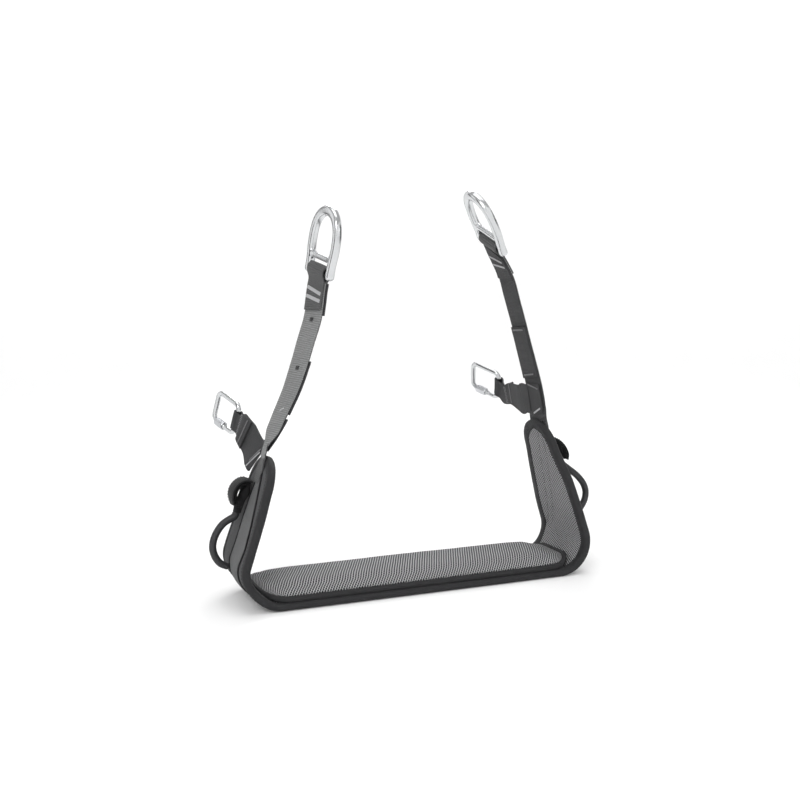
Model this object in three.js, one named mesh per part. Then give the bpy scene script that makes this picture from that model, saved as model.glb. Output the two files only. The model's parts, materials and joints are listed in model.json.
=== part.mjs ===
// Suspension work seat: a padded U-shaped band with a crowned cushion on its
// floor, a load webbing up the outside of each wing, a riser strap with a forged
// ring above each wing, a short link strap with a screw link behind each wing,
// and a stiff gear loop with a keeper flap on each outer face.
// Millimetres. X runs across the seat, -Y is the front edge, +Z is up.
// Origin: centre of the flat underside.
import * as THREE from 'three';

// ---------------------------------------------------------------- dimensions
const FLOOR_HALF = 190;          // flat underside, half length
const CORNER_R = 43.3;           // outer radius of the lower corners
const BAND_T = 8.6;              // thickness of the padded band
const FLOOR_HALF_DEPTH = 60;     // half of the floor's front-to-back depth
const SIDES = {
  // dir: -1 left, +1 right. lean: inward lean of the wing in degrees.
  // arc: outer length from the middle of the floor to the wing tip.
  // front, back: half depths at three stations up the wing.
  left: { dir: -1, lean: 18.5, arc: 401.0, front: [60.15, 60.0, 55.0], back: [59.6, 52.0, 38.0] },
  right: { dir: 1, lean: 17.6, arc: 425.0, front: [60.15, 57.0, 41.8], back: [58.4, 48.5, 36.6] },
};
const TIP_LEN = 38.7;            // length of the rounded tip
const BINDING_W = 8;             // width of the edge binding
const GAP = 0.3;                 // running gap between neighbouring pieces
const COVER_T = 2.2;             // woven outer cover
const HINGE_ANGLE = 35;          // corner angle at which the wing folds, degrees
const HINGE_GAP = 4.8;           // fabric fold left open for the wing's swing
const PLATE = { x: 184, y: 47, z0: 3.8, z1: 5.6 };
const SEAT_WEB = { x: 186, y: 21, z0: 2.5, z1: 3.5 };
const CUSHION = { x: 206, y: 55.5, z0: 9.6, z1: 27.5, r: 32 };
const WEB_W = 44;                // load webbing and riser width
const WEB_T = 2.2;               // riser webbing thickness
const WING_WEB_T = 1.3;
const RING = { r: 29, top: 72, vm: 40, cross: 15.5, foot: 29, depth: 5, bevel: 2, bar: 3.5, rod: 5.2 };
const LINK = { h: 41, l: 49, rod: 3.5, corner: 6.5, nut: 18, nutR: 6.3, bore: 3.95 };
const LINK_STRAP_END_W = 27;
const LOOP_R = 4.5;              // gear loop tube radius

// Straps, rings and links lie where they hang, so each side has its own route.
const ROUTES = {
  left: {
    riser: [[-191.0, 0, 184.5], [-182, 1, 201], [-167.7, 3, 229.6], [-153.5, 4, 258.4], [-142.2, 5, 287.5], [-132.6, 5, 316.7], [-123.2, 4, 346], [-117.0, 2, 375.3]],
    bar: [-113, 0, 403.6], w: [0.169, -0.958, -0.231], up: [0.128, -0.211, 0.969],
    wLow: [0.05, -1, 0], wMid: [0.2, -0.97, 0],
    rod: [-190.9, 149.5, 206.7], u: [-0.362, 0.86, 0.359], down: [-0.182, 0.312, -0.932],
    loop: [[-224.3, 108.3], [-226.6, 104.6], [-232.4, 101.6], [-240.5, 96.8], [-247.9, 88.0], [-252.8, 77.6], [-254.2, 67.6], [-251.6, 57], [-245.8, 48.4], [-237.6, 43.4]],
    sleeve: [[-213.0, 133.5], [-219.6, 121.5], [-223.1, 110.2]],
    keeper: [[-205.1, 148.0], [-212.4, 150.2], [-221.0, 147.4], [-227.6, 140.4], [-230.4, 130.6], [-229.0, 120.6]],
    y: 10,
  },
  right: {
    riser: [[188.0, 1, 208.0], [189.6, 2, 216], [186.6, 4, 242.4], [182.2, 7, 266.6], [174.9, 10, 299.1], [167, 12, 331.4], [157.5, 12, 363.6], [146.1, 8, 395.3], [138.4, 4, 411.5]],
    bar: [120.5, 0, 437.5], w: [0.116, -0.907, -0.406], up: [-0.513, -0.405, 0.757],
    wLow: [0.02, -1, 0], wMid: [-0.04, -1, 0],
    rod: [197.8, 138.6, 235.7], u: [-0.44, 0.838, 0.324], down: [0.176, 0.434, -0.884],
    loop: [[229.5, 137.4], [233.0, 134.6], [241.8, 127.8], [253.8, 118.4], [263.8, 106.4], [267.6, 95.4], [266.4, 84.6], [260.0, 73.4], [251.2, 65.2], [241.6, 60.5]],
    sleeve: [[213.5, 143.8], [221, 142.2], [227.6, 138.7]],
    keeper: [[197.2, 173.5], [205, 176.0], [216, 173.2], [226.0, 165.2], [232.6, 153.6], [233.9, 143.6]],
    y: 10,
  },
};

// ------------------------------------------------------------------- helpers
const V = (a, b, c) => new THREE.Vector3(a, b, c);
const A3 = (a) => V(a[0], a[1], a[2]);
const rad = THREE.MathUtils.degToRad;

// Closed solid through a list of point loops with flat caps on both ends.
function loft(rings) {
  const n = rings[0].length;
  const pos = [];
  const idx = [];
  for (const ring of rings) for (const p of ring) pos.push(p.x, p.y, p.z);
  for (let i = 0; i + 1 < rings.length; i++)
    for (let j = 0; j < n; j++) {
      const a = i * n + j, b = i * n + ((j + 1) % n), c = a + n, d = b + n;
      idx.push(a, b, d, a, d, c);
    }
  for (const [r, flip] of [[0, true], [rings.length - 1, false]]) {
    const mid = rings[r].reduce((s, p) => s.add(p), V(0, 0, 0)).multiplyScalar(1 / n);
    const k = pos.length / 3;
    pos.push(mid.x, mid.y, mid.z);
    for (let j = 0; j < n; j++) {
      const a = r * n + j, b = r * n + ((j + 1) % n);
      if (flip) idx.push(k, b, a); else idx.push(k, a, b);
    }
  }
  return solid(pos, idx);
}

// Closed solid through a list of point loops that joins up with itself.
function loftRing(rings) {
  const n = rings[0].length, m = rings.length;
  const pos = [], idx = [];
  for (const ring of rings) for (const p of ring) pos.push(p.x, p.y, p.z);
  for (let i = 0; i < m; i++)
    for (let j = 0; j < n; j++) {
      const a = i * n + j, b = i * n + ((j + 1) % n), c = ((i + 1) % m) * n + j, d = ((i + 1) % m) * n + ((j + 1) % n);
      idx.push(a, b, d, a, d, c);
    }
  return solid(pos, idx);
}

function solid(pos, idx) {
  let vol = 0;
  const P = (i) => V(pos[3 * i], pos[3 * i + 1], pos[3 * i + 2]);
  for (let i = 0; i < idx.length; i += 3) vol += P(idx[i]).dot(P(idx[i + 1]).cross(P(idx[i + 2])));
  if (vol < 0) for (let i = 0; i < idx.length; i += 3) { const t = idx[i]; idx[i] = idx[i + 1]; idx[i + 1] = t; }
  const g = new THREE.BufferGeometry();
  g.setAttribute('position', new THREE.Float32BufferAttribute(pos, 3));
  g.setIndex(idx);
  g.computeVertexNormals();
  return g;
}

// Band profile: point on one side at outer arc length s, off mm inward of the outer face.
function band(side, s, off) {
  const end = FLOOR_HALF + CORNER_R * rad(90 + side.lean);
  let x, z;
  if (s <= FLOOR_HALF) { x = s; z = off; }
  else if (s <= end) {
    const a = (s - FLOOR_HALF) / CORNER_R;
    x = FLOOR_HALF + (CORNER_R - off) * Math.sin(a);
    z = CORNER_R - (CORNER_R - off) * Math.cos(a);
  } else {
    const a = rad(90 + side.lean);
    x = FLOOR_HALF + (CORNER_R - off) * Math.sin(a) + (s - end) * Math.cos(a);
    z = CORNER_R - (CORNER_R - off) * Math.cos(a) + (s - end) * Math.sin(a);
  }
  return [side.dir * x, z];
}
const bandPoint = (side, s, y, off) => { const [x, z] = band(side, s, off); return V(x, y, z); };

// Smooth monotone interpolation through stations.
function through(xs, ys, x) {
  if (x <= xs[0]) return ys[0];
  const n = xs.length;
  if (x >= xs[n - 1]) return ys[n - 1];
  let i = 0;
  while (x > xs[i + 1]) i++;
  const h = xs[i + 1] - xs[i];
  const d = (k) => (ys[k + 1] - ys[k]) / (xs[k + 1] - xs[k]);
  const m = (k) => (k === 0 || k === n - 1 ? (k === 0 ? 0 : d(n - 2)) : (d(k - 1) * d(k) <= 0 ? 0 : 2 * d(k - 1) * d(k) / (d(k - 1) + d(k))));
  const t = (x - xs[i]) / h;
  return ys[i] * (1 + 2 * t) * (1 - t) ** 2 + m(i) * h * t * (1 - t) ** 2 + ys[i + 1] * t * t * (3 - 2 * t) + m(i + 1) * h * t * t * (t - 1);
}

// Outline of a wing in (arc length, y): from the fold up the front edge, round the tip, down the back edge.
function wingOutline(side) {
  const s0 = FLOOR_HALF + 0.5 * CORNER_R * rad(90 + side.lean);
  const sr = side.arc - TIP_LEN;
  const ks = [0, s0, s0 + (sr - s0) * 0.35, s0 + (sr - s0) * 0.7, sr];
  const f = (s) => through(ks, [FLOOR_HALF_DEPTH, FLOOR_HALF_DEPTH, ...side.front], s);
  const b = (s) => through(ks, [FLOOR_HALF_DEPTH, FLOOR_HALF_DEPTH, ...side.back], s);
  const start = FLOOR_HALF + CORNER_R * rad(HINGE_ANGLE);
  const pts = [];
  const n = 16;
  for (let i = 0; i < n; i++) { const s = start + (sr - start) * i / n; pts.push([s, -f(s)]); }
  const mid = (b(sr) - f(sr)) / 2, hw = (b(sr) + f(sr)) / 2;
  const m = 14;
  for (let i = 0; i <= m; i++) { const a = -Math.PI / 2 + Math.PI * i / m; pts.push([sr + TIP_LEN * Math.cos(a), mid + hw * Math.sin(a)]); }
  for (let i = n - 1; i >= 0; i--) { const s = start + (sr - start) * i / n; pts.push([s, b(s)]); }
  return pts;
}
// The same outline moved inward by d.
function inset(pts, d) {
  return pts.map((p, i) => {
    const a = pts[Math.max(0, i - 1)], b = pts[Math.min(pts.length - 1, i + 1)];
    let tx = b[0] - a[0], ty = b[1] - a[1];
    if (i === 0 || i === pts.length - 1) { tx = i === 0 ? 1 : -1; ty = 0; }
    const l = Math.hypot(tx, ty);
    return [p[0] - ty / l * d, p[1] + tx / l * d];
  });
}
// Front and back y of an inset outline at arc length s.
function widthAt(pts, s) {
  let top = 0;
  pts.forEach((p, i) => { if (p[0] > pts[top][0]) top = i; });
  const look = (list) => {
    for (let i = 0; i + 1 < list.length; i++) {
      const [a, b] = [list[i], list[i + 1]];
      if ((a[0] - s) * (b[0] - s) <= 0 && a[0] !== b[0]) return a[1] + (b[1] - a[1]) * (s - a[0]) / (b[0] - a[0]);
    }
    return list[list.length - 1][1];
  };
  return [look(pts.slice(0, top + 1)), look(pts.slice(top).reverse())];
}

// Arc lengths at which every layer of a wing has its rows.
function wingStations(side) {
  const pts = inset(wingOutline(side), BINDING_W + GAP);
  return [...new Set(pts.map((p) => Math.round(p[0] * 50) / 50))].sort((a, b) => a - b).filter((s, i, l) => i === 0 || s - l[i - 1] > 0.5);
}

// Layer of a wing between two offsets, inside an inset of the outline.
function wingLayer(side, insetBy, off0, off1) {
  const pts = inset(wingOutline(side), insetBy);
  const top = Math.max(...pts.map((p) => p[0]));
  const rings = [];
  for (const s of wingStations(side)) {
    const at = Math.max(s, pts[0][0]);
    const [y0, y1] = widthAt(pts, Math.min(at, top - 0.3));
    const ys = [0, 0.5, 1].map((k) => y0 + (y1 - y0) * k);
    rings.push([...ys.map((y) => bandPoint(side, Math.min(at, top - 0.3), y, off0)), ...ys.reverse().map((y) => bandPoint(side, Math.min(at, top - 0.3), y, off1))]);
  }
  return loft(rings.filter((r, i) => i === 0 || r[0].distanceTo(rings[i - 1][0]) > 0.2));
}

// Edge binding of a wing: a rounded strip all round the outline.
function wingBinding(side) {
  const o = wingOutline(side);
  const i1 = inset(o, 1.6), i2 = inset(o, BINDING_W);
  const q = (p, off) => bandPoint(side, p[0], p[1], off);
  return loft(o.map((p, k) => [q(i2[k], 0), q(i1[k], 0), q(p, 2.4), q(p, BAND_T - 2.4), q(i1[k], BAND_T), q(i2[k], BAND_T)]));
}

// Strip of the floor band between two y values and two offsets, following the lower corners.
function floorStrip(y0, y1, off0, off1, reach = null, round = 0) {
  const end = reach ?? FLOOR_HALF + CORNER_R * (rad(HINGE_ANGLE) - HINGE_GAP / (CORNER_R - BAND_T / 2));
  const ss = [];
  const m = 5;
  for (let i = 0; i <= m; i++) ss.push(FLOOR_HALF + (end - FLOOR_HALF) * i / m);
  const rings = [];
  const ring = (side, s) => {
    const q = (y, off) => bandPoint(side, s, y, off);
    if (!round) return [q(y0, off0), q(y1, off0), q(y1, off1), q(y0, off1)];
    return y0 < 0
      ? [q(y0 + 1.6, off0), q(y1, off0), q(y1, off1), q(y0 + 1.6, off1), q(y0, off1 - 2.4), q(y0, off0 + 2.4)]
      : [q(y0, off0), q(y1 - 1.6, off0), q(y1, off0 + 2.4), q(y1, off1 - 2.4), q(y1 - 1.6, off1), q(y0, off1)];
  };
  for (const s of [...ss].reverse()) rings.push(ring(SIDES.left, s));
  for (const s of ss) rings.push(ring(SIDES.right, s));
  return loft(rings);
}

// Rounded-rectangle loop in plan.
function roundedPlan(hx, hy, r, z, k = 6) {
  const out = [];
  for (const [cx, cy, a0] of [[hx - r, hy - r, 0], [-hx + r, hy - r, 90], [-hx + r, -hy + r, 180], [hx - r, -hy + r, 270]])
    for (let i = 0; i <= k; i++) { const a = rad(a0 + 90 * i / k); out.push(V(cx + r * Math.cos(a), cy + r * Math.sin(a), z)); }
  return out;
}

// Flat strap along a path. Each station has a centre, a width direction and a half width.
function strap(stations, thickness) {
  const rings = stations.map((st, i) => {
    const a = stations[Math.max(0, i - 1)].p, b = stations[Math.min(stations.length - 1, i + 1)].p;
    const t = b.clone().sub(a).normalize();
    const w = st.w.clone().addScaledVector(t, -st.w.dot(t)).normalize();
    const n = t.clone().cross(w).normalize().multiplyScalar(thickness / 2);
    const e = w.multiplyScalar(st.h);
    return [st.p.clone().add(e).add(n), st.p.clone().sub(e).add(n), st.p.clone().sub(e).sub(n), st.p.clone().add(e).sub(n)];
  });
  return loft(rings);
}

// Round rod along a curve.
function rod(points, r, segs, sides = 10, tension = 0.5) {
  const curve = new THREE.CatmullRomCurve3(points, false, 'catmullrom', tension);
  const sh = new THREE.Shape();
  for (let i = 0; i < sides; i++) { const a = 2 * Math.PI * i / sides; const [x, y] = [r * Math.cos(a), r * Math.sin(a)]; if (i) sh.lineTo(x, y); else sh.moveTo(x, y); }
  sh.closePath();
  return new THREE.ExtrudeGeometry(sh, { steps: segs, bevelEnabled: false, extrudePath: curve, curveSegments: 1 });
}

const group = new THREE.Group();
function add(name, geometry, color, roughness, metalness) {
  const mesh = new THREE.Mesh(geometry, new THREE.MeshStandardMaterial({ color, roughness, metalness }));
  mesh.name = name;
  group.add(mesh);
  return mesh;
}
const COVER = 0x48484b, MESH = 0x747476, TRIM = 0x262628, WEB = 0x58585b, METAL = 0xcfd2d4, STEEL = 0xb9bcbf;

// ------------------------------------------------------------------ the seat
const inY = FLOOR_HALF_DEPTH - BINDING_W - GAP;
add('base_cover', floorStrip(-inY, inY, 0, COVER_T), COVER, 0.9, 0);
add('seat_web', new THREE.BoxGeometry(2 * SEAT_WEB.x, 2 * SEAT_WEB.y, SEAT_WEB.z1 - SEAT_WEB.z0).translate(0, 0, (SEAT_WEB.z0 + SEAT_WEB.z1) / 2), WEB, 0.9, 0);
add('seat_plate', new THREE.BoxGeometry(2 * PLATE.x, 2 * PLATE.y, PLATE.z1 - PLATE.z0).translate(0, 0, (PLATE.z0 + PLATE.z1) / 2), 0x8a8d90, 0.5, 0.8);
add('base_pad', floorStrip(-inY, inY, 5.9, BAND_T), MESH, 0.95, 0);
add('floor_binding_front', floorStrip(-FLOOR_HALF_DEPTH, -inY - GAP, 0, BAND_T, null, 1), TRIM, 0.9, 0);
add('floor_binding_back', floorStrip(inY + GAP, FLOOR_HALF_DEPTH, 0, BAND_T, null, 1), TRIM, 0.9, 0);

// Crowned cushion inside its own edge binding.
{
  const { x, y, z0, z1, r } = CUSHION;
  const b = 5.2;
  // the cushion's ends ride up the start of the corner
  const inner = CORNER_R - BAND_T;
  const lift = (px) => inner - Math.sqrt(inner * inner - Math.max(0, Math.abs(px) - 189) ** 2);
  add('cushion_binding', loftRing(roundedPlan(x, y, r, 0).map((p, i) => {
    const q = roundedPlan(x - 1.4, y - 1.4, r - 1.4, 0)[i], s = roundedPlan(x - b, y - b, r - b, 0)[i];
    const at = (v, z) => V(v.x, v.y, z + lift(v.x));
    return [at(s, z0), at(q, z0), at(p, z0 + 2), at(p, z0 + 4.6), at(q, z0 + 6.4), at(s, z0 + 6.4)];
  })), TRIM, 0.9, 0);
  const g = b + GAP;
  const rise = [[z0, 0], [z0 + 7.0, 0], [z0 + 11.5, 2.5], [z0 + 15.2, 8], [z1 - 0.9, 18], [z1, 32]];
  add('cushion_pad', loft(rise.map(([z, d]) => roundedPlan(x - g - d, y - g - d * 0.85, Math.max(r - g - d, 4), z).map((p) => V(p.x, p.y, p.z + lift(p.x))))), MESH, 0.95, 0);
}

// ------------------------------------------------------- both ends of the seat
for (const [name, side] of Object.entries(SIDES)) {
  const route = ROUTES[name];
  const out = V(side.dir, 0, 0);

  add(`wing_cover_${name}`, wingLayer(side, BINDING_W + GAP, 0, COVER_T), COVER, 0.9, 0);
  add(`wing_pad_${name}`, wingLayer(side, BINDING_W + GAP, COVER_T + GAP, BAND_T), MESH, 0.95, 0);
  add(`wing_binding_${name}`, wingBinding(side), TRIM, 0.9, 0);

  // load webbing sewn up the outer face of the wing
  {
    const h = WEB_W / 2 - 2;
    const rings = [];
    for (const s of [...wingStations(side).slice(0, -3), side.arc - 3]) {
      rings.push([bandPoint(side, s, -h, -GAP), bandPoint(side, s, h, -GAP), bandPoint(side, s, h, -GAP - WING_WEB_T), bandPoint(side, s, -h, -GAP - WING_WEB_T)]);
    }
    add(`wing_web_${name}`, loft(rings), WEB, 0.9, 0);
  }

  // riser strap: up from the wing tip, round the ring's lower bar and back down beside itself
  const bar = A3(route.bar), w = A3(route.w).normalize();
  const upper = A3(route.riser[route.riser.length - 1]);
  const d = upper.clone().sub(bar); d.addScaledVector(w, -d.dot(w)).normalize();
  const pts = [...route.riser.map(A3).slice(0, -1), bar.clone().addScaledVector(d, 22), bar.clone().addScaledVector(d, 8)];
  const centre = new THREE.CatmullRomCurve3(pts, false, 'centripetal');
  const L = centre.getLength();
  centre.arcLengthDivisions = 400;
  // frame at distance a below the top of the centre curve
  const frameAt = (a) => {
    const u = Math.min(1, Math.max(0, 1 - (a - 8) / L));
    const p = centre.getPointAt(u), t = centre.getTangentAt(u);
    const k = Math.min(1, Math.max(0, 1 - u));
    const ww = k < 0.55 ? w.clone().lerp(A3(route.wMid).normalize(), k / 0.55) : A3(route.wMid).normalize().lerp(A3(route.wLow).normalize(), (k - 0.55) / 0.45);
    ww.addScaledVector(t, -ww.dot(t)).normalize();
    const n = t.clone().cross(ww).normalize();
    if (n.dot(out) < 0) n.negate();
    return { p, w: ww, n, t };
  };
  const hw = WEB_W / 2, off = WEB_T / 2 + GAP / 2 + 0.05;
  const st = [];
  const low = L + 8;
  const cuts = [];
  for (let i = 0; i <= 22; i++) cuts.push(low + (16 - low) * i / 22);
  cuts.push(low - 4, low - 44, low - 56, low - 118);
  cuts.sort((a, b) => b - a);
  for (const a of cuts) { const f = frameAt(a); st.push({ p: f.p.addScaledVector(f.n, -off), w: f.w, h: hw }); }
  // a layer lying along the riser between two distances below its top, o mm off its middle
  const layer = (from, to, o, h) => {
    const list = [from, ...cuts.filter((a) => a < from - 1 && a > to + 1), to];
    return list.map((a) => { const f = frameAt(a); return { p: f.p.addScaledVector(f.n, o), w: f.w, h }; });
  };
  const f0 = frameAt(10);
  let nb = d.clone().cross(w).normalize(); if (nb.dot(out) < 0) nb.negate();
  const R = 6.4;
  const around = (a, b) => st.push({ p: bar.clone().addScaledVector(d, a).addScaledVector(nb, b), w: w.clone(), h: hw });
  around(11.5, -2.2); around(7.5, -4.3); around(3.6, -5.9);
  for (let i = 0; i <= 6; i++) { const a = Math.PI * i / 6; around(-R * Math.sin(a), -R * Math.cos(a)); }
  around(3.6, 5.9); around(7.5, 4.3); around(11.5, 2.2);
  for (const a of [16, 24, 33, 43, 50]) { const f = frameAt(a); st.push({ p: f.p.addScaledVector(f.n, off), w: f.w, h: hw - 1 }); }
  add(`riser_strap_${name}`, strap(st, WEB_T), WEB, 0.9, 0);

  // second layer sewn along the inner face of the riser's lower half
  const inner = -off - WEB_T - GAP - 0.05;
  add(`riser_doubler_${name}`, strap(layer(low - 56, low - 118, inner, hw - 0.5), WEB_T), WEB, 0.9, 0);

  // the link strap's lap, sewn to the inner face of the riser's foot
  add(`link_lap_${name}`, strap(layer(low - 5, low - 44, inner - 0.4, hw - 1.5), WEB_T), TRIM, 0.9, 0);

  // ring: large eye, crossbar, and a lower bar that the riser wraps
  {
    const { r, top, vm, cross, foot, depth, bevel, bar: hb, rod: rr } = RING;
    const e = bevel, sh = new THREE.Shape();
    const H = top + rr - e, W = r + rr - e, F = foot + rr - e;
    sh.moveTo(-F, -hb - 1.5);
    sh.lineTo(-foot + rr - e, -hb + e); sh.lineTo(foot - rr + e, -hb + e); sh.lineTo(F, -hb - 1.5);
    sh.lineTo(F + 0.4, 4);
    sh.bezierCurveTo(F - 1.5, 10, W - 2.5, 16, W - 0.5, 24);
    sh.bezierCurveTo(W + 1.2, 34, W + 0.5, 46, W - 4, 55);
    sh.bezierCurveTo(W - 10, 68, 14, H, 0, H);
    sh.bezierCurveTo(-14, H, -W + 10, 68, -W + 4, 55);
    sh.bezierCurveTo(-W - 0.5, 46, -W - 1.2, 34, -W + 0.5, 24);
    sh.bezierCurveTo(-W + 2.5, 16, -F + 1.5, 10, -F - 0.4, 4);
    sh.closePath();
    const wi = r - rr + e, hi = top - rr + e;
    const eye = new THREE.Path();
    const c1 = cross + 3.6 - e;
    eye.moveTo(-wi + 5, c1); eye.lineTo(wi - 5, c1);
    eye.quadraticCurveTo(wi - 0.5, c1 + 1, wi + 0.3, c1 + 8);
    eye.bezierCurveTo(wi + 0.8, 46, wi - 4, hi, 0, hi);
    eye.bezierCurveTo(-wi + 4, hi, -wi - 0.8, 46, -wi - 0.3, c1 + 8);
    eye.quadraticCurveTo(-wi + 0.5, c1 + 1, -wi + 5, c1);
    const slot = new THREE.Path();
    const sw = foot - rr + e + 0.6, sl = hb - e, sc = cross - 3.6 + e;
    slot.moveTo(-sw, sl); slot.lineTo(sw, sl); slot.lineTo(sw, sc); slot.lineTo(-sw, sc); slot.closePath();
    sh.holes.push(eye, slot);
    const g = new THREE.ExtrudeGeometry(sh, { depth, bevelEnabled: true, bevelThickness: bevel, bevelSize: bevel, bevelSegments: 2, curveSegments: 7 });
    g.translate(0, 0, -depth / 2);
    const X = w.clone(), Y = A3(route.up).addScaledVector(w, -A3(route.up).dot(w)).normalize(), Z = X.clone().cross(Y);
    g.applyMatrix4(new THREE.Matrix4().makeBasis(X, Y, Z).setPosition(bar));
    add(`ring_${name}`, g, METAL, 0.3, 0.9);
  }

  // link strap: back from the riser's foot, round the link's rod and back beside itself
  const lapF = frameAt(low - 24);
  const J = lapF.p.clone().addScaledVector(lapF.w, -(hw + 5.6)).addScaledVector(lapF.n, -off);
  const rodC = A3(route.rod), down = A3(route.down).normalize();
  const u = A3(route.u); u.addScaledVector(down, -u.dot(down)).normalize();
  const dir = rodC.clone().sub(J).normalize();
  const wEnd = down.clone().negate();
  const dirE = dir.clone().addScaledVector(wEnd, -dir.dot(wEnd)).normalize();
  let nl = dirE.clone().cross(wEnd).normalize(); if (nl.dot(out) < 0) nl.negate();
  const wStart = lapF.t.clone();
  const reach = rodC.clone().sub(J).length();
  const ls = [];
  const q0 = rodC.clone().addScaledVector(dirE, -14);
  const mids = new THREE.CatmullRomCurve3([J, J.clone().add(V(0, 18, 2)), J.clone().lerp(q0, 0.6), q0.clone().addScaledVector(dirE, -10), q0], false, 'centripetal');
  const lf = (k) => {
    const p = mids.getPointAt(k), t = mids.getTangentAt(k);
    const e = k * k * (3 - 2 * k);
    const ww = wStart.clone().lerp(wEnd, e); ww.addScaledVector(t, -ww.dot(t)).normalize();
    let n = t.clone().cross(ww).normalize(); if (n.dot(out) < 0) n.negate();
    const h = THREE.MathUtils.lerp(WEB_W / 2 - 3.5, LINK_STRAP_END_W / 2, Math.min(1, Math.max(0, (k - 0.1) / 0.75)));
    return { p, w: ww, n, h };
  };
  for (let i = 0; i <= 10; i++) { const f = lf(i / 10); ls.push({ p: f.p.addScaledVector(f.n, -off * Math.min(1, i / 3)), w: f.w, h: f.h }); }
  const RL = LINK.rod + 0.5 + WEB_T / 2;
  const wrap = (a, b) => ls.push({ p: rodC.clone().addScaledVector(dirE, a).addScaledVector(nl, b), w: wEnd.clone(), h: LINK_STRAP_END_W / 2 });
  wrap(-9.5, -2.3); wrap(-5.5, -4.2);
  for (let i = 0; i <= 6; i++) { const a = Math.PI * i / 6; wrap(RL * Math.sin(a), -RL * Math.cos(a)); }
  wrap(-5.5, 4.2); wrap(-9.5, 2.3);
  for (const k of [1, 0.9, 0.78, 0.66, 0.56]) { const f = lf(k); ls.push({ p: f.p.addScaledVector(f.n, off), w: f.w, h: f.h }); }
  add(`link_strap_${name}`, strap(ls, WEB_T), TRIM, 0.9, 0);

  // screw link: an open rod loop whose gap on the lower side is closed by a sleeve nut
  {
    const { h, l, rod: rl, corner: c, nut, nutR, bore } = LINK;
    const at = (a, b) => rodC.clone().addScaledVector(u, a).addScaledVector(down, b);
    const H = h / 2;
    const gapAt = 17;                       // distance of the nut's middle from the far side
    const path = [];
    const arc = (cu, cv, a0, a1) => { for (let i = 0; i <= 3; i++) { const a = rad(a0 + (a1 - a0) * i / 3); path.push(at(cu + c * Math.cos(a), cv + c * Math.sin(a))); } };
    path.push(at(l - gapAt - 1.2, H));
    path.push(at((l - gapAt + c) / 2, H));
    arc(c, H - c, 90, 180);
    path.push(at(0, 5)); path.push(at(0, -5));
    arc(c, -H + c, 180, 270);
    path.push(at(l * 0.45, -H));
    arc(l - c, -H + c, 270, 360);
    path.push(at(l, 0));
    arc(l - c, H - c, 0, 90);
    path.push(at(l - gapAt + 1.2, H));
    add(`quick_link_${name}`, rod(path, rl, 64, 10, 0.35), STEEL, 0.25, 0.95);
    const sh = new THREE.Shape();
    for (let i = 0; i < 6; i++) { const a = Math.PI / 3 * i; if (i) sh.lineTo(nutR * Math.cos(a), nutR * Math.sin(a)); else sh.moveTo(nutR * Math.cos(a), nutR * Math.sin(a)); }
    sh.closePath();
    const hole = new THREE.Path(); hole.absarc(0, 0, bore, 0, Math.PI * 2, true); sh.holes.push(hole);
    const g = new THREE.ExtrudeGeometry(sh, { depth: nut, bevelEnabled: false, curveSegments: 12 });
    g.translate(0, 0, -nut / 2);
    const Zv = u.clone(), Xv = down.clone(), Yv = Zv.clone().cross(Xv);
    g.applyMatrix4(new THREE.Matrix4().makeBasis(Xv, Yv, Zv).setPosition(at(l - gapAt, H)));
    add(`link_nut_${name}`, g, STEEL, 0.3, 0.9);
  }

  // gear loop: a stiff covered tube between a tapered sleeve and the wing's seam
  const gl = route.loop.map(([x, z]) => V(x, route.y, z));
  add(`gear_loop_${name}`, rod(gl, LOOP_R, 26, 10), TRIM, 0.7, 0);
  {
    const c = new THREE.CatmullRomCurve3(route.sleeve.map(([x, z]) => V(x, route.y, z)));
    const rings = [];
    for (let i = 0; i <= 8; i++) {
      const p = c.getPointAt(i / 8), t = c.getTangentAt(i / 8), b = V(0, 1, 0), n = t.clone().cross(b).normalize();
      const rx = THREE.MathUtils.lerp(6.2, 4.9, i / 8), rn = THREE.MathUtils.lerp(3.4, 4.9, i / 8);
      const ring = [];
      for (let j = 0; j < 10; j++) { const a = 2 * Math.PI * j / 10; ring.push(p.clone().addScaledVector(b, rx * Math.cos(a)).addScaledVector(n, rn * Math.sin(a))); }
      rings.push(ring);
    }
    add(`gear_loop_sleeve_${name}`, loft(rings), TRIM, 0.9, 0);
  }
  // keeper: a curved flap of webbing above the gear loop
  {
    const c = new THREE.CatmullRomCurve3(route.keeper.map(([x, z]) => V(x, route.y, z)));
    const kk = [];
    for (let i = 0; i <= 12; i++) kk.push({ p: c.getPointAt(i / 12), w: V(0, 1, 0), h: 11 });
    add(`keeper_${name}`, strap(kk, 2.0), TRIM, 0.95, 0);
  }
}

export default group;
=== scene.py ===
import json
import math

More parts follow.
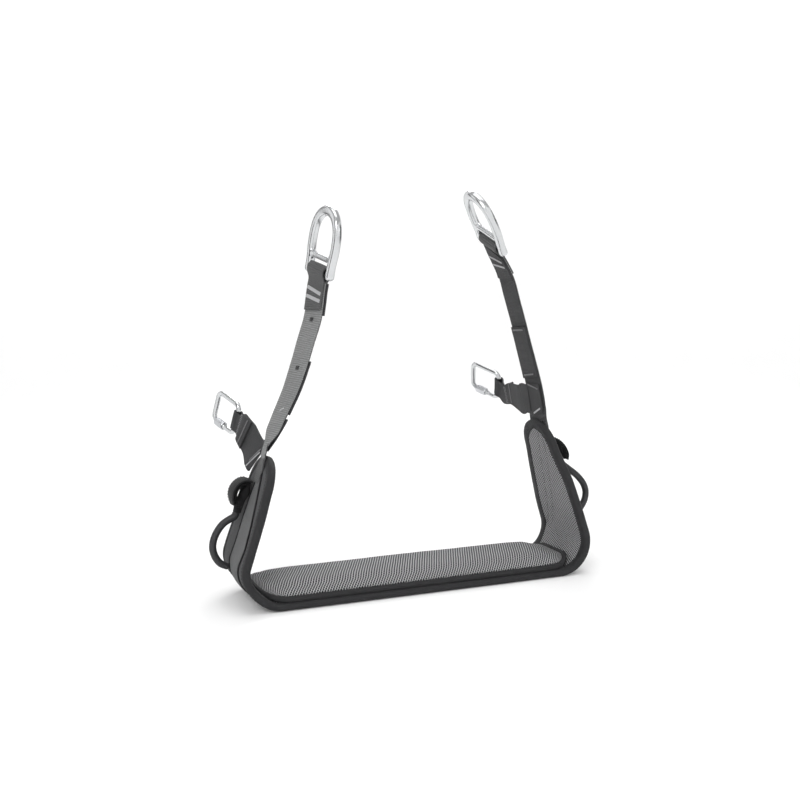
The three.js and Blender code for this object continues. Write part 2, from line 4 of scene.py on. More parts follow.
import bmesh
import bpy
import numpy as np
from mathutils import Matrix, Vector
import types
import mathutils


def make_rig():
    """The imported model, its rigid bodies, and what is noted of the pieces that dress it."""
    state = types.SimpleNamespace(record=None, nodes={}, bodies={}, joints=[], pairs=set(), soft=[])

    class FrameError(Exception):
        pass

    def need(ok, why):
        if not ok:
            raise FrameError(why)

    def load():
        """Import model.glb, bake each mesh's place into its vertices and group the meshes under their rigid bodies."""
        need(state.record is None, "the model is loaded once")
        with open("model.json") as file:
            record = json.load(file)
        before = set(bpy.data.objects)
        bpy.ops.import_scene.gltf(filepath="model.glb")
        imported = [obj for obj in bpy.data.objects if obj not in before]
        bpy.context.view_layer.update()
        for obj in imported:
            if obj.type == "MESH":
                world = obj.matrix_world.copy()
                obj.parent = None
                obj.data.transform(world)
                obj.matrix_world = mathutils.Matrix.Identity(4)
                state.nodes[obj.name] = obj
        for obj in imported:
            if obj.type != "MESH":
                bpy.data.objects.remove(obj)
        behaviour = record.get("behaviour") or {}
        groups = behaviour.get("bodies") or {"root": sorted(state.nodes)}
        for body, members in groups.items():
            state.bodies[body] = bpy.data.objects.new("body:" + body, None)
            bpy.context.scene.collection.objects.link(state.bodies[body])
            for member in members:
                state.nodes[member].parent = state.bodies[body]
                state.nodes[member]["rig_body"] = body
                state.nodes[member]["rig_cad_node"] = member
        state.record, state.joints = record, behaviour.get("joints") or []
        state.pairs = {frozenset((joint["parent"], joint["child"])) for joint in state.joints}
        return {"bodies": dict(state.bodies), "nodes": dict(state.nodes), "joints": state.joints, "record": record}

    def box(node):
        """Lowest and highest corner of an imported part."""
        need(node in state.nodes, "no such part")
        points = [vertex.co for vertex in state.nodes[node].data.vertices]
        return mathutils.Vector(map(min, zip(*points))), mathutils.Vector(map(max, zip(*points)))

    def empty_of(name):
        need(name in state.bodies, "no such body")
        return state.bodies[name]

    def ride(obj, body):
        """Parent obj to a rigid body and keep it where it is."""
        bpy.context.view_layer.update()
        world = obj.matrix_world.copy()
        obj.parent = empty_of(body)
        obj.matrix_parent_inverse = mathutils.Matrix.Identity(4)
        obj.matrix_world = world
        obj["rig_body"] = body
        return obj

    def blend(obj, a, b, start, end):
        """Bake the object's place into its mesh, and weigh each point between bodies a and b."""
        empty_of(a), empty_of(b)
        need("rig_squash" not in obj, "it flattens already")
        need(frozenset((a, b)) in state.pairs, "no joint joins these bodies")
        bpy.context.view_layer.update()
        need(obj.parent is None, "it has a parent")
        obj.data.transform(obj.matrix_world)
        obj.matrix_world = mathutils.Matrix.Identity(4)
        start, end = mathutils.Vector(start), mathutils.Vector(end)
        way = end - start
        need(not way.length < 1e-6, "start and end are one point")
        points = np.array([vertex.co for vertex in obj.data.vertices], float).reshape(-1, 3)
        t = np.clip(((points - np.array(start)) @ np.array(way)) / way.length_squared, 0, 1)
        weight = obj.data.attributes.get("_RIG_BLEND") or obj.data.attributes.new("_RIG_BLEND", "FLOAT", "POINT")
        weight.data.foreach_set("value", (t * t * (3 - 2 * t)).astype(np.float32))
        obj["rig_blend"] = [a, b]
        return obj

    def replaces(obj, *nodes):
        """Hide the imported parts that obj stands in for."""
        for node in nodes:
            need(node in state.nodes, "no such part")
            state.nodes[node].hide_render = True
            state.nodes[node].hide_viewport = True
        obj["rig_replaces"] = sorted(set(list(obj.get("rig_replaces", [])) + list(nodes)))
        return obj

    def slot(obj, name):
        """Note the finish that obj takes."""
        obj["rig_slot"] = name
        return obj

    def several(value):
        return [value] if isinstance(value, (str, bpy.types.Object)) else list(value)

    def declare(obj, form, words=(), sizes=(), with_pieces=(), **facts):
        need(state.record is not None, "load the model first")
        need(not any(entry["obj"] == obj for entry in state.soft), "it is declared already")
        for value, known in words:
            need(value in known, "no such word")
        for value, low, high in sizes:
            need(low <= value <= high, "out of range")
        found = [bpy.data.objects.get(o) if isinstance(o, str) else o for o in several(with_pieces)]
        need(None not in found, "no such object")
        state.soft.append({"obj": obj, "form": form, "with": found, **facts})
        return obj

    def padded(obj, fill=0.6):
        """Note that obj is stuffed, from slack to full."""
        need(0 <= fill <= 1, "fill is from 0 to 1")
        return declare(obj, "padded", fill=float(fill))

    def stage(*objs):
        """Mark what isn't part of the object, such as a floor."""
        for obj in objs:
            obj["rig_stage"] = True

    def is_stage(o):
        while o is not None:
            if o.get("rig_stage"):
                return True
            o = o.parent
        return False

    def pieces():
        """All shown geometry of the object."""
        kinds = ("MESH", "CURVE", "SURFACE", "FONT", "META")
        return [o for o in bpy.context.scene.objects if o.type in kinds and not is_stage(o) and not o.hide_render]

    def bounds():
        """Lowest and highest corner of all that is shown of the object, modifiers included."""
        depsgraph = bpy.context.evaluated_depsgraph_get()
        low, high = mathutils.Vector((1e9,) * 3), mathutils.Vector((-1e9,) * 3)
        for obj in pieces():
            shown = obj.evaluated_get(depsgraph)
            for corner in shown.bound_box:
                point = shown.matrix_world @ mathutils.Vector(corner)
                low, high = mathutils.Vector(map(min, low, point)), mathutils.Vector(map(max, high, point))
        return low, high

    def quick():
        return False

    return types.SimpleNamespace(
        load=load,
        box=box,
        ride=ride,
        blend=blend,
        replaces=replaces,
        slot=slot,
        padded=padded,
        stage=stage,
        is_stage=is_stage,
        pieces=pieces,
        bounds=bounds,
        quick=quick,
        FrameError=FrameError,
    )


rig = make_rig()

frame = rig.load()
CAD_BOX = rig.bounds()
MM = 0.001

# ------------------------------------------------------------------ dimensions (mm), as in the CAD
FLOOR_HALF, CORNER_R, BAND_T, HALF_DEPTH = 190.0, 43.3, 8.6, 60.0
TIP_LEN = 38.7
WING_FRONT, WING_BACK = [60.15, 57.0, 41.8], [58.4, 48.5, 36.6]
SIDES = {"left": dict(dir=-1.0, lean=18.5, arc=401.0, front=[60.15, 60.0, 55.0], back=[59.6, 52.0, 38.0], sag=4.2), "right": dict(dir=1.0, lean=17.6, arc=425.0, front=WING_FRONT, back=WING_BACK, sag=0.0)}
WEB_W, WEB_T, GAP = 44.0, 2.2, 0.3
CUSHION = dict(x=206.0, y=55.5, z0=9.6, z1=27.5, r=32.0)
RING = dict(r=29.0, top=72.0, cross=15.5, foot=29.0, rod=5.2, bar=3.5)
LINK = dict(h=41.0, l=49.0, rod=3.5, corner=6.5, nut=18.0, nutR=6.3)
LINK_STRAP_END_W, LOOP_R = 27.0, 4.5
ROUTES = {
    "left": dict(
        riser=[[-191.0, 0, 184.5], [-182, 1, 201], [-167.7, 3, 229.6], [-153.5, 4, 258.4], [-142.2, 5, 287.5], [-132.6, 5, 316.7], [-123.2, 4, 346], [-117.0, 2, 375.3]],
        bar=[-113, 0, 403.6], w=[0.169, -0.958, -0.231], up=[0.128, -0.211, 0.969],
        wLow=[0.05, -1, 0], wMid=[0.2, -0.97, 0],
        rod=[-190.9, 149.5, 206.7], u=[-0.362, 0.86, 0.359], down=[-0.182, 0.312, -0.932],
        loop=[[-224.3, 108.3], [-226.6, 104.6], [-232.4, 101.6], [-240.5, 96.8], [-247.9, 88.0], [-252.8, 77.6], [-254.2, 67.6], [-251.6, 57], [-245.8, 48.4], [-237.6, 43.4]],
        sleeve=[[-213.0, 133.5], [-219.6, 121.5], [-223.1, 110.2]],
        keeper=[[-205.1, 148.0], [-212.4, 150.2], [-221.0, 147.4], [-227.6, 140.4], [-230.4, 130.6], [-229.0, 120.6]]),
    "right": dict(
        riser=[[188.0, 1, 208.0], [189.6, 2, 216], [186.6, 4, 242.4], [182.2, 7, 266.6], [174.9, 10, 299.1], [167, 12, 331.4], [157.5, 12, 363.6], [146.1, 8, 395.3], [138.4, 4, 411.5]],
        bar=[120.5, 0, 437.5], w=[0.116, -0.907, -0.406], up=[-0.513, -0.405, 0.757],
        wLow=[0.02, -1, 0], wMid=[-0.04, -1, 0],
        rod=[197.8, 138.6, 235.7], u=[-0.44, 0.838, 0.324], down=[0.176, 0.434, -0.884],
        loop=[[229.5, 137.4], [233.0, 134.6], [241.8, 127.8], [253.8, 118.4], [263.8, 106.4], [267.6, 95.4], [266.4, 84.6], [260.0, 73.4], [251.2, 65.2], [241.6, 60.5]],
        sleeve=[[213.5, 143.8], [221, 142.2], [227.6, 138.7]],
        keeper=[[197.2, 173.5], [205, 176.0], [216, 173.2], [226.0, 165.2], [232.6, 153.6], [233.9, 143.6]]),
}
LOOP_Y = 10.0


def unit(v):
    v = np.asarray(v, float)
    return v / np.linalg.norm(v)


def smooth(t):
    t = np.clip(t, 0, 1)
    return t * t * (3 - 2 * t)


def wob(t, seed=0.0):
    """Small steady waviness, the same on every run."""
    t = np.asarray(t, float)
    return (np.sin(t * 1.00 + seed) + 0.6 * np.sin(t * 2.13 + seed * 1.7 + 1.1) + 0.35 * np.sin(t * 4.37 + seed * 2.3 + 2.0)) / 1.95


# ------------------------------------------------------------------ camera, floor and light
YAW, EL, ROLL = math.radians(20.8), math.radians(5.68), math.radians(-0.96)
fwd = np.array([math.sin(YAW) * math.cos(EL), math.cos(YAW) * math.cos(EL), -math.sin(EL)])
rgt = np.array([math.cos(YAW), -math.sin(YAW), 0.0])
upv = np.cross(rgt, fwd)
r2 = rgt * math.cos(ROLL) + upv * math.sin(ROLL)
u2 = -rgt * math.sin(ROLL) + upv * math.cos(ROLL)
loc = (np.array([-10.558, 0, 237.855]) - 1320.164 * fwd) * MM
cam_data = bpy.data.cameras.new("camera")
cam_data.sensor_width = 36.0
cam_data.lens = 1033.726 * 36.0 / 800.0
cam_data.clip_start, cam_data.clip_end = 0.05, 60.0
cam = bpy.data.objects.new("camera", cam_data)
bpy.context.scene.collection.objects.link(cam)
cam.matrix_world = Matrix(((r2[0], u2[0], -fwd[0], loc[0]), (r2[1], u2[1], -fwd[1], loc[1]), (r2[2], u2[2], -fwd[2], loc[2]), (0, 0, 0, 1)))
bpy.context.scene.camera = cam


def area_light(name, at, aim, size, power, size_y=None):
    d = bpy.data.lights.new(name, "AREA")
    d.energy = power
    d.size = size
    if size_y:
        d.shape = "RECTANGLE"
        d.size_y = size_y
    o = bpy.data.objects.new(name, d)
    bpy.context.scene.collection.objects.link(o)
    o.location = at
    o.rotation_mode = "QUATERNION"
    o.rotation_quaternion = (Vector(aim) - Vector(at)).to_track_quat("-Z", "Y")
    return o


# a plain display curve, so the studio white stays white and the black cloth stays black
bpy.context.scene.view_settings.view_transform = "Standard"
area_light("key", (-1.6, -2.3, 2.3), (0, 0, 0.2), 1.2, 36)
area_light("fill", (2.4, -2.0, 1.3), (0, 0, 0.2), 1.2, 6)
area_light("rim", (0.9, 2.4, 2.4), (0, 0, 0.25), 1.4, 28, 0.7)
area_light("top", (0, 0, 3.2), (0, 0, 0), 2.2, 28)
world = bpy.data.worlds.new("studio")
bpy.context.scene.world = world
world.use_nodes = True
world.node_tree.nodes["Background"].inputs[0].default_value = (1.0, 1.0, 1.0, 1)
world.node_tree.nodes["Background"].inputs[1].default_value = 0.54


# ------------------------------------------------------------------ materials
class Nodes:
    """A short way to write node trees."""

    def __init__(self, name):
        self.mat = bpy.data.materials.new(name)
        self.mat.use_nodes = True
        self.t = self.mat.node_tree
        self.t.nodes.clear()
        self.out = self.t.nodes.new("ShaderNodeOutputMaterial")
        self.b = self.t.nodes.new("ShaderNodeBsdfPrincipled")
        self.t.links.new(self.b.outputs[0], self.out.inputs[0])

    def put(self, socket, value):
        if isinstance(value, bpy.types.NodeSocket):
            self.t.links.new(value, socket)
        else:
            try:
                socket.default_value = value
            except (TypeError, ValueError):
                socket.default_value = (*value, 1.0)

    def node(self, kind, inputs=None, out=0, **attrs):
        n = self.t.nodes.new(kind)
        for k, v in attrs.items():
            setattr(n, k, v)
        for k, v in (inputs or {}).items():
            self.put(n.inputs[k], v)
        return n.outputs[out]

    def m(self, op, a, b=0.0, c=0.0, clamp=False):
        return self.node("ShaderNodeMath", {0: a, 1: b, 2: c}, operation=op, use_clamp=clamp)

    def v(self, op, a, b=(0, 0, 0), out=0, scale=None):
        ins = {0: a, 1: b}
        if scale is not None:
            ins["Scale"] = scale
        return self.node("ShaderNodeVectorMath", ins, out=out, operation=op)

    def uv(self):
        return self.node("ShaderNodeUVMap", out=0, uv_map="UVMap")

    def obj(self):
        return self.node("ShaderNodeTexCoord", out=3)

    def noise(self, vec, scale, detail=2.0, rough=0.5, out=0):
        return self.node("ShaderNodeTexNoise", {"Vector": vec, "Scale": scale, "Detail": detail, "Roughness": rough}, out=out)

    def ramp(self, fac, stops):
        n = self.t.nodes.new("ShaderNodeValToRGB")
        self.put(n.inputs[0], fac)
        e = n.color_ramp.elements
        while len(e) < len(stops):
            e.new(0.5)
        for k, (p, c) in enumerate(stops):
            e[k].position = p
            e[k].color = (*c, 1) if len(c) == 3 else c
        return n.outputs[0]

    def mix(self, fac, a, b, mode="MIX"):
        n = self.t.nodes.new("ShaderNodeMix")
        n.data_type = "RGBA"
        n.blend_type = mode
        self.put(n.inputs[0], fac)
        self.put(n.inputs[6], a)
        self.put(n.inputs[7], b)
        return n.outputs[2]

    def rng(self, x, a, b, c=0.0, d=1.0, kind="SMOOTHSTEP"):
        return self.node("ShaderNodeMapRange", {0: x, 1: a, 2: b, 3: c, 4: d}, interpolation_type=kind)

    def bump(self, height, distance, strength=1.0, normal=None):
        ins = {"Height": height, "Distance": distance, "Strength": strength}
        if normal is not None:
            ins["Normal"] = normal
        return self.node("ShaderNodeBump", ins)

    def sep(self, vec):
        n = self.t.nodes.new("ShaderNodeSeparateXYZ")
        self.put(n.inputs[0], vec)
        return n.outputs

    def comb(self, x=0.0, y=0.0, z=0.0):
        return self.node("ShaderNodeCombineXYZ", {0: x, 1: y, 2: z})


def spacer_mesh(name, dark, light, pitch=0.0036, turn=-7.0, squeeze=0.82):
    """Knitted spacer mesh: rows of small open holes in a staggered grid."""
    n = Nodes(name)
    uv = n.uv()
    rot = n.node("ShaderNodeVectorRotate", {"Vector": uv, "Angle": math.radians(turn)}, rotation_type="Z_AXIS")
    drift = n.noise(uv, 55.0, 2.0, out=1)
    rot = n.v("ADD", rot, n.v("SCALE", n.v("SUBTRACT", drift, (0.5, 0.5, 0.5)), scale=0.0009))
    p = n.v("SCALE", rot, scale=1.0 / pitch)
    cell = (1.0, 1.732, 1.0)
    q = n.v("DIVIDE", p, cell)
    d = []
    for shift in (0.0, 0.5):
        f = n.v("SUBTRACT", n.v("FRACTION", n.v("ADD", q, (shift, shift, 0.0))), (0.5, 0.5, 0.0))
        f = n.v("MULTIPLY", f, (cell[0], cell[1] * squeeze, 0.0))
        d.append(n.v("LENGTH", f, out=1))
    dist = n.m("MINIMUM", d[0], d[1])
    row = n.v("DOT_PRODUCT", p, (-0.866, 0.5, 0.0), out=1)
    ridge = n.m("MULTIPLY", n.m("COSINE", n.m("MULTIPLY", row, 2 * math.pi / 0.866)), -0.5)
    yarn = n.rng(n.m("ADD", dist, n.m("MULTIPLY", ridge, 0.10)), 0.20, 0.41)
    fine = n.noise(uv, 1500.0, 3.0, 0.6)
    soft = n.noise(uv, 26.0, 3.0, 0.55)
    rib = n.m("SINE", n.m("MULTIPLY", n.sep(rot)[0], 2 * math.pi / (pitch / 3)))
    thread = n.m("ADD", n.m("MULTIPLY", fine, 0.5), n.m("MULTIPLY", rib, 0.10))
    tone = n.mix(n.m("ADD", n.m("MULTIPLY", soft, 0.5), n.m("MULTIPLY", thread, 0.5), clamp=True), tuple(0.72 * c for c in light), tuple(1.22 * c for c in light))
    # painted light: the rows of ridges are coloured lighter on top and darker in the grooves between them
    lit = n.mix(n.rng(ridge, -0.5, 0.5), tuple(0.62 * c for c in light), tuple(1.25 * c for c in light))
    tone = n.mix(0.5, tone, lit)
    # painted shade: the open holes are coloured near black, for the shade inside them
    n.put(n.b.inputs["Base Color"], n.mix(yarn, dark, tone))
    n.put(n.b.inputs["Roughness"], 0.86)
    n.put(n.b.inputs["Sheen Weight"], 0.03)
    n.put(n.b.inputs["Sheen Roughness"], 0.45)
    n.put(n.b.inputs["Specular IOR Level"], 0.14)
    h = n.m("ADD", n.m("MULTIPLY", yarn, 1.0), n.m("ADD", n.m("MULTIPLY", thread, 0.22), n.m("MULTIPLY", ridge, 0.5)))
    n.put(n.b.inputs["Normal"], n.bump(h, 0.0012, 1.0))
    return n.mat


def woven(name, base, pitch=0.0011, melange=0.35, rough=0.82, sheen=0.04, depth=0.00028):
    """Plain woven cloth: crossed yarns with a mottled yarn colour."""
    n = Nodes(name)
    uv = n.uv()
    x, y, _ = n.sep(n.v("SCALE", uv, scale=2 * math.pi / pitch))
    sx, sy = n.m("SINE", x), n.m("SINE", y)
    cross = n.m("MULTIPLY", sx, sy)
    big = n.noise(uv, 30.0, 3.0, 0.6)
    fleck = n.noise(uv, 900.0, 2.0, 0.7)
    var = n.m("ADD", n.m("MULTIPLY", big, 0.4), n.m("MULTIPLY", fleck, 0.6), clamp=True)
    lo, hi = tuple(c * (1 - melange) for c in base), tuple(c * (1 + melange) for c in base)
    tone = n.mix(var, lo, hi)
    # painted shade: the hollows between the crossed yarns are coloured darker
    tone = n.mix(n.rng(cross, -1.0, 0.2, 0.45, 0.0), tone, tuple(c * 0.4 for c in base))
    n.put(n.b.inputs["Base Color"], tone)
    n.put(n.b.inputs["Roughness"], rough)
    n.put(n.b.inputs["Sheen Weight"], sheen)
    n.put(n.b.inputs["Sheen Roughness"], 0.5)
    n.put(n.b.inputs["Specular IOR Level"], 0.16)
    n.put(n.b.inputs["Normal"], n.bump(n.m("ADD", cross, n.m("MULTIPLY", fleck, 0.8)), depth, 0.9))
    return n.mat


def webbing(name, base, rib=0.0019, warp=0.0013, rough=0.62, contrast=0.5):
    """Strap webbing: u runs along the strap, so ribs lie across it; fine warp lines run along it."""
    n = Nodes(name)
    uv = n.uv()
    u, v, _ = n.sep(uv)
    jit = n.noise(uv, 240.0, 2.0)
    cross = n.m("SINE", n.m("ADD", n.m("MULTIPLY", u, 2 * math.pi / rib), n.m("MULTIPLY", jit, 0.9)))
    along = n.m("SINE", n.m("MULTIPLY", v, 2 * math.pi / warp))
    weave = n.m("ADD", n.m("MULTIPLY", cross, 0.7), n.m("MULTIPLY", n.m("MULTIPLY", along, cross), 0.3))
    big = n.noise(uv, 18.0, 3.0, 0.55)
    fleck = n.noise(uv, 1100.0, 2.0, 0.7)
    var = n.m("ADD", n.m("MULTIPLY", big, 0.5), n.m("MULTIPLY", fleck, 0.5), clamp=True)
    tone = n.mix(var, tuple(c * 0.74 for c in base), tuple(c * 1.26 for c in base))
    # painted shade: the hollows between the ribs are coloured darker
    tone = n.mix(n.rng(weave, -0.9, 0.3, contrast, 0.0), tone, tuple(c * 0.32 for c in base))
    n.put(n.b.inputs["Base Color"], tone)
    n.put(n.b.inputs["Roughness"], rough)
    n.put(n.b.inputs["Sheen Weight"], 0.03)
    n.put(n.b.inputs["Sheen Roughness"], 0.4)
    n.put(n.b.inputs["Specular IOR Level"], 0.18)
    n.put(n.b.inputs["Normal"], n.bump(n.m("ADD", weave, n.m("MULTIPLY", fleck, 0.5)), 0.0003, 0.9))
    return n.mat


def grosgrain(name, base):
    """Binding tape: close ribs across the tape, with a softly worn crown."""
    n = Nodes(name)
    uv = n.uv()
    u, v, _ = n.sep(uv)
    rib = n.m("SINE", n.m("MULTIPLY", u, 2 * math.pi / 0.0012))
    big = n.noise(uv, 34.0, 3.0, 0.6)
    fleck = n.noise(uv, 900.0, 2.0, 0.7)
    var = n.m("ADD", n.m("MULTIPLY", big, 0.55), n.m("MULTIPLY", fleck, 0.45), clamp=True)
    tone = n.mix(var, tuple(c * 0.7 for c in base), tuple(c * 1.5 for c in base))
    # painted shade: the grooves between the ribs are coloured darker
    tone = n.mix(n.rng(rib, -1, 0.0, 0.4, 0.0), tone, tuple(c * 0.4 for c in base))
    n.put(n.b.inputs["Base Color"], tone)
    n.put(n.b.inputs["Roughness"], n.rng(big, 0.3, 0.7, 0.55, 0.75))
    n.put(n.b.inputs["Sheen Weight"], 0.03)
    n.put(n.b.inputs["Sheen Roughness"], 0.4)
    n.put(n.b.inputs["Specular IOR Level"], 0.22)
    n.put(n.b.inputs["Normal"], n.bump(n.m("ADD", rib, n.m("MULTIPLY", fleck, 0.7)), 0.00022, 0.8))
    return n.mat


def metal(name, base, rough, scratch=0.3, brush=None, dull=0.0):
    """Bare metal with uneven polish, fine scratches and a slightly rolling surface."""
    n = Nodes(name)
    o = n.obj()
    cloud = n.noise(o, 34.0, 3.0, 0.6)
    fine = n.noise(n.v("MULTIPLY", o, brush or (260.0, 900.0, 260.0)), 1.0, 3.0, 0.65)
    roll = n.noise(o, 90.0, 2.0, 0.5)
    n.put(n.b.inputs["Metallic"], 1.0)
    n.put(n.b.inputs["Base Color"], n.mix(cloud, tuple(c * 0.90 for c in base), base))
    r = n.m("ADD", n.rng(cloud, 0.3, 0.75, rough * 0.8, rough * 1.35), n.m("MULTIPLY", fine, 0.10 * scratch + dull), clamp=True)
    n.put(n.b.inputs["Roughness"], r)
    b1 = n.bump(roll, 0.0006, 0.22)
    n.put(n.b.inputs["Normal"], n.bump(fine, 0.00006, scratch, normal=b1))
    return n.mat


def plastic(name, base, rough=0.45):
    """Satin covered tube: faint moulding texture and rubbed patches."""
    n = Nodes(name)
    o = n.obj()
    big = n.noise(o, 60.0, 3.0, 0.6)
    fine = n.noise(o, 2400.0, 2.0, 0.6)
    n.put(n.b.inputs["Base Color"], n.mix(big, tuple(c * 0.75 for c in base), tuple(c * 1.5 for c in base)))
    n.put(n.b.inputs["Roughness"], n.rng(big, 0.3, 0.75, rough * 0.85, rough * 1.3))
    n.put(n.b.inputs["Specular IOR Level"], 0.42)
    n.put(n.b.inputs["Normal"], n.bump(fine, 0.00012, 0.5))
    return n.mat


def fuzzy(name, base):
    """Hook-and-loop pile."""
    n = Nodes(name)
    o = n.obj()
    tuft = n.node("ShaderNodeTexVoronoi", {"Vector": o, "Scale": 900.0}, out=0)
    fine = n.noise(o, 2600.0, 3.0, 0.7)
    # painted shade: the hollows between the tufts are coloured darker and the tuft tops lighter
    n.put(n.b.inputs["Base Color"], n.mix(n.rng(tuft, 0.1, 0.7), tuple(c * 1.6 for c in base), tuple(c * 0.4 for c in base)))
    n.put(n.b.inputs["Roughness"], 0.95)
    n.put(n.b.inputs["Sheen Weight"], 0.06)
    n.put(n.b.inputs["Specular IOR Level"], 0.1)
    n.put(n.b.inputs["Normal"], n.bump(n.m("SUBTRACT", fine, tuft), 0.0007, 1.0))
    return n.mat


def thread_mat(name, base):
    n = Nodes(name)
    o = n.obj()
    fine = n.noise(o, 1800.0, 2.0, 0.6)
    n.put(n.b.inputs["Base Color"], n.mix(fine, tuple(c * 0.6 for c in base), tuple(min(1, c * 1.3) for c in base)))
    n.put(n.b.inputs["Roughness"], 0.6)
    n.put(n.b.inputs["Sheen Weight"], 0.05)
    n.put(n.b.inputs["Normal"], n.bump(fine, 0.0002, 0.6))
    return n.mat


M = {
    "mesh": spacer_mesh("spacer_mesh", (0.010, 0.010, 0.011), (0.430, 0.430, 0.438)),
    "cover": woven("woven_cover", (0.086, 0.087, 0.090)),
    "strip": woven("wing_webbing", (0.150, 0.152, 0.154), pitch=0.0015, melange=0.45, depth=0.0004),
    "trim": grosgrain("binding_tape", (0.026, 0.026, 0.0275)),
    "cord": plastic("piping_cord", (0.006, 0.006, 0.007), 0.8),
    "riser": webbing("riser_webbing", (0.215, 0.218, 0.218), rib=0.0027, warp=0.0021, contrast=0.55),
    # painted shade: a darker copy of the riser webbing, for the riser's tail, bight and return layer
    "bight": webbing("riser_webbing_bight", (0.092, 0.093, 0.094), rib=0.0023, contrast=0.5),
    "dark": webbing("dark_webbing", (0.042, 0.042, 0.044), rib=0.0020, contrast=0.45),
    "ring": metal("forged_aluminium", (0.66, 0.67, 0.68), 0.20, 0.35),
    "steel": metal("plated_steel", (0.64, 0.65, 0.66), 0.18, 0.30),
    "nut": metal("sleeve_steel", (0.62, 0.63, 0.65), 0.24, 0.6),
    "plate": metal("sheet_aluminium", (0.66, 0.67, 0.68), 0.3, 0.6),
    "tube": plastic("loop_tube", (0.022, 0.022, 0.024), 0.46),
    "sleeve": woven("sleeve_cloth", (0.017, 0.017, 0.018), pitch=0.0014),
    "keeper": webbing("keeper_webbing", (0.019, 0.019, 0.020), rib=0.0018, contrast=0.5),
    "pile": fuzzy("hook_pile", (0.009, 0.009, 0.0095)),
    "light_thread": thread_mat("light_thread", (0.44, 0.44, 0.45)),
    "mid_thread": thread_mat("mid_thread", (0.19, 0.19, 0.195)),
    "black_thread": thread_mat("black_thread", (0.02, 0.02, 0.021)),
}


# ------------------------------------------------------------------ mesh helpers
def make(name, verts, faces, material, uvs=None, angle=40.0):
    """A mesh object from points in millimetres. uvs holds one list of (u, v) in metres for each face."""
    me = bpy.data.meshes.new(name)
    me.from_pydata([tuple(float(c) * MM for c in v) for v in verts], [], [tuple(int(i) for i in f) for f in faces])
    me.validate()
    if uvs is not None:
        layer = me.uv_layers.new(name="UVMap")
        flat = np.array([c for f in uvs for p in f for c in p], np.float32)
        if len(flat) == len(layer.data) * 2:
            layer.data.foreach_set("uv", flat)
    o = bpy.data.objects.new(name, me)
    bpy.context.scene.collection.objects.link(o)
    me.materials.append(M[material] if isinstance(material, str) else material)
    outward(me)
    me.polygons.foreach_set("use_smooth", [True] * len(me.polygons))
    me.set_sharp_from_angle(angle=math.radians(angle))
    me.update()
    return o


def outward(me):
    """Turns a closed mesh's faces outward."""
    co = np.zeros(len(me.vertices) * 3)
    me.vertices.foreach_get("co", co)
    co = co.reshape(-1, 3)
    me.calc_loop_triangles()
    tri = np.zeros(len(me.loop_triangles) * 3, np.int32)
    me.loop_triangles.foreach_get("vertices", tri)
    t = co[tri.reshape(-1, 3)]
    if np.einsum("ij,ij->i", t[:, 0], np.cross(t[:, 1], t[:, 2])).sum() < 0:
        me.flip_normals()


def loft(name, rings, material, closed=False, u=None, v=None, caps=True, angle=40.0, uv_swap=False):
    """A closed solid through loops of points (rings[i][j]); u and v in mm can be given per ring and per point."""
    R = np.asarray(rings, float)
    m, n, _ = R.shape
    if u is None:
        step = np.linalg.norm(np.diff(R.mean(1), axis=0), axis=1)
        u = np.concatenate([[0], np.cumsum(step)])
    if v is None:
        r = R[m // 2]
        v = np.concatenate([[0], np.cumsum(np.linalg.norm(np.roll(r, -1, 0) - r, axis=1))])
    v = np.asarray(v, float)
    verts = R.reshape(-1, 3)
    faces, uvs = [], []
    last = m if closed else m - 1
    uu = list(u) + ([u[-1] + (u[1] - u[0])] if closed else [])
    for i in range(last):
        i2 = (i + 1) % m
        for j in range(n):
            j2 = (j + 1) % n
            faces.append((i * n + j, i * n + j2, i2 * n + j2, i2 * n + j))
            va, vb = (v[j], v[j + 1]) if v.ndim == 1 else (v[i][j], v[i][j + 1])
            vc, vd = (va, vb) if v.ndim == 1 else (v[i2][j], v[i2][j + 1])
            uvs.append([(uu[i] * MM, va * MM), (uu[i] * MM, vb * MM), (uu[i + 1] * MM, vd * MM), (uu[i + 1] * MM, vc * MM)])
    if not closed and caps:
        for i, order in ((0, range(n - 1, -1, -1)), (m - 1, range(n))):
            f = [i * n + j for j in order]
            c = R[i].mean(0)
            e1 = unit(R[i][1] - R[i][0]) if np.linalg.norm(R[i][1] - R[i][0]) > 1e-6 else np.array([1.0, 0, 0])
            e2 = unit(np.cross(np.cross(e1, R[i][n // 2] - R[i][0]) + 1e-9, e1))
            faces.append(tuple(f))
            uvs.append([(((R[i][j] - c) @ e1) * MM, ((R[i][j] - c) @ e2) * MM) for j in order])
    if uv_swap:
        uvs = [[(b, a) for a, b in f] for f in uvs]
    return make(name, verts, faces, material, uvs, angle)


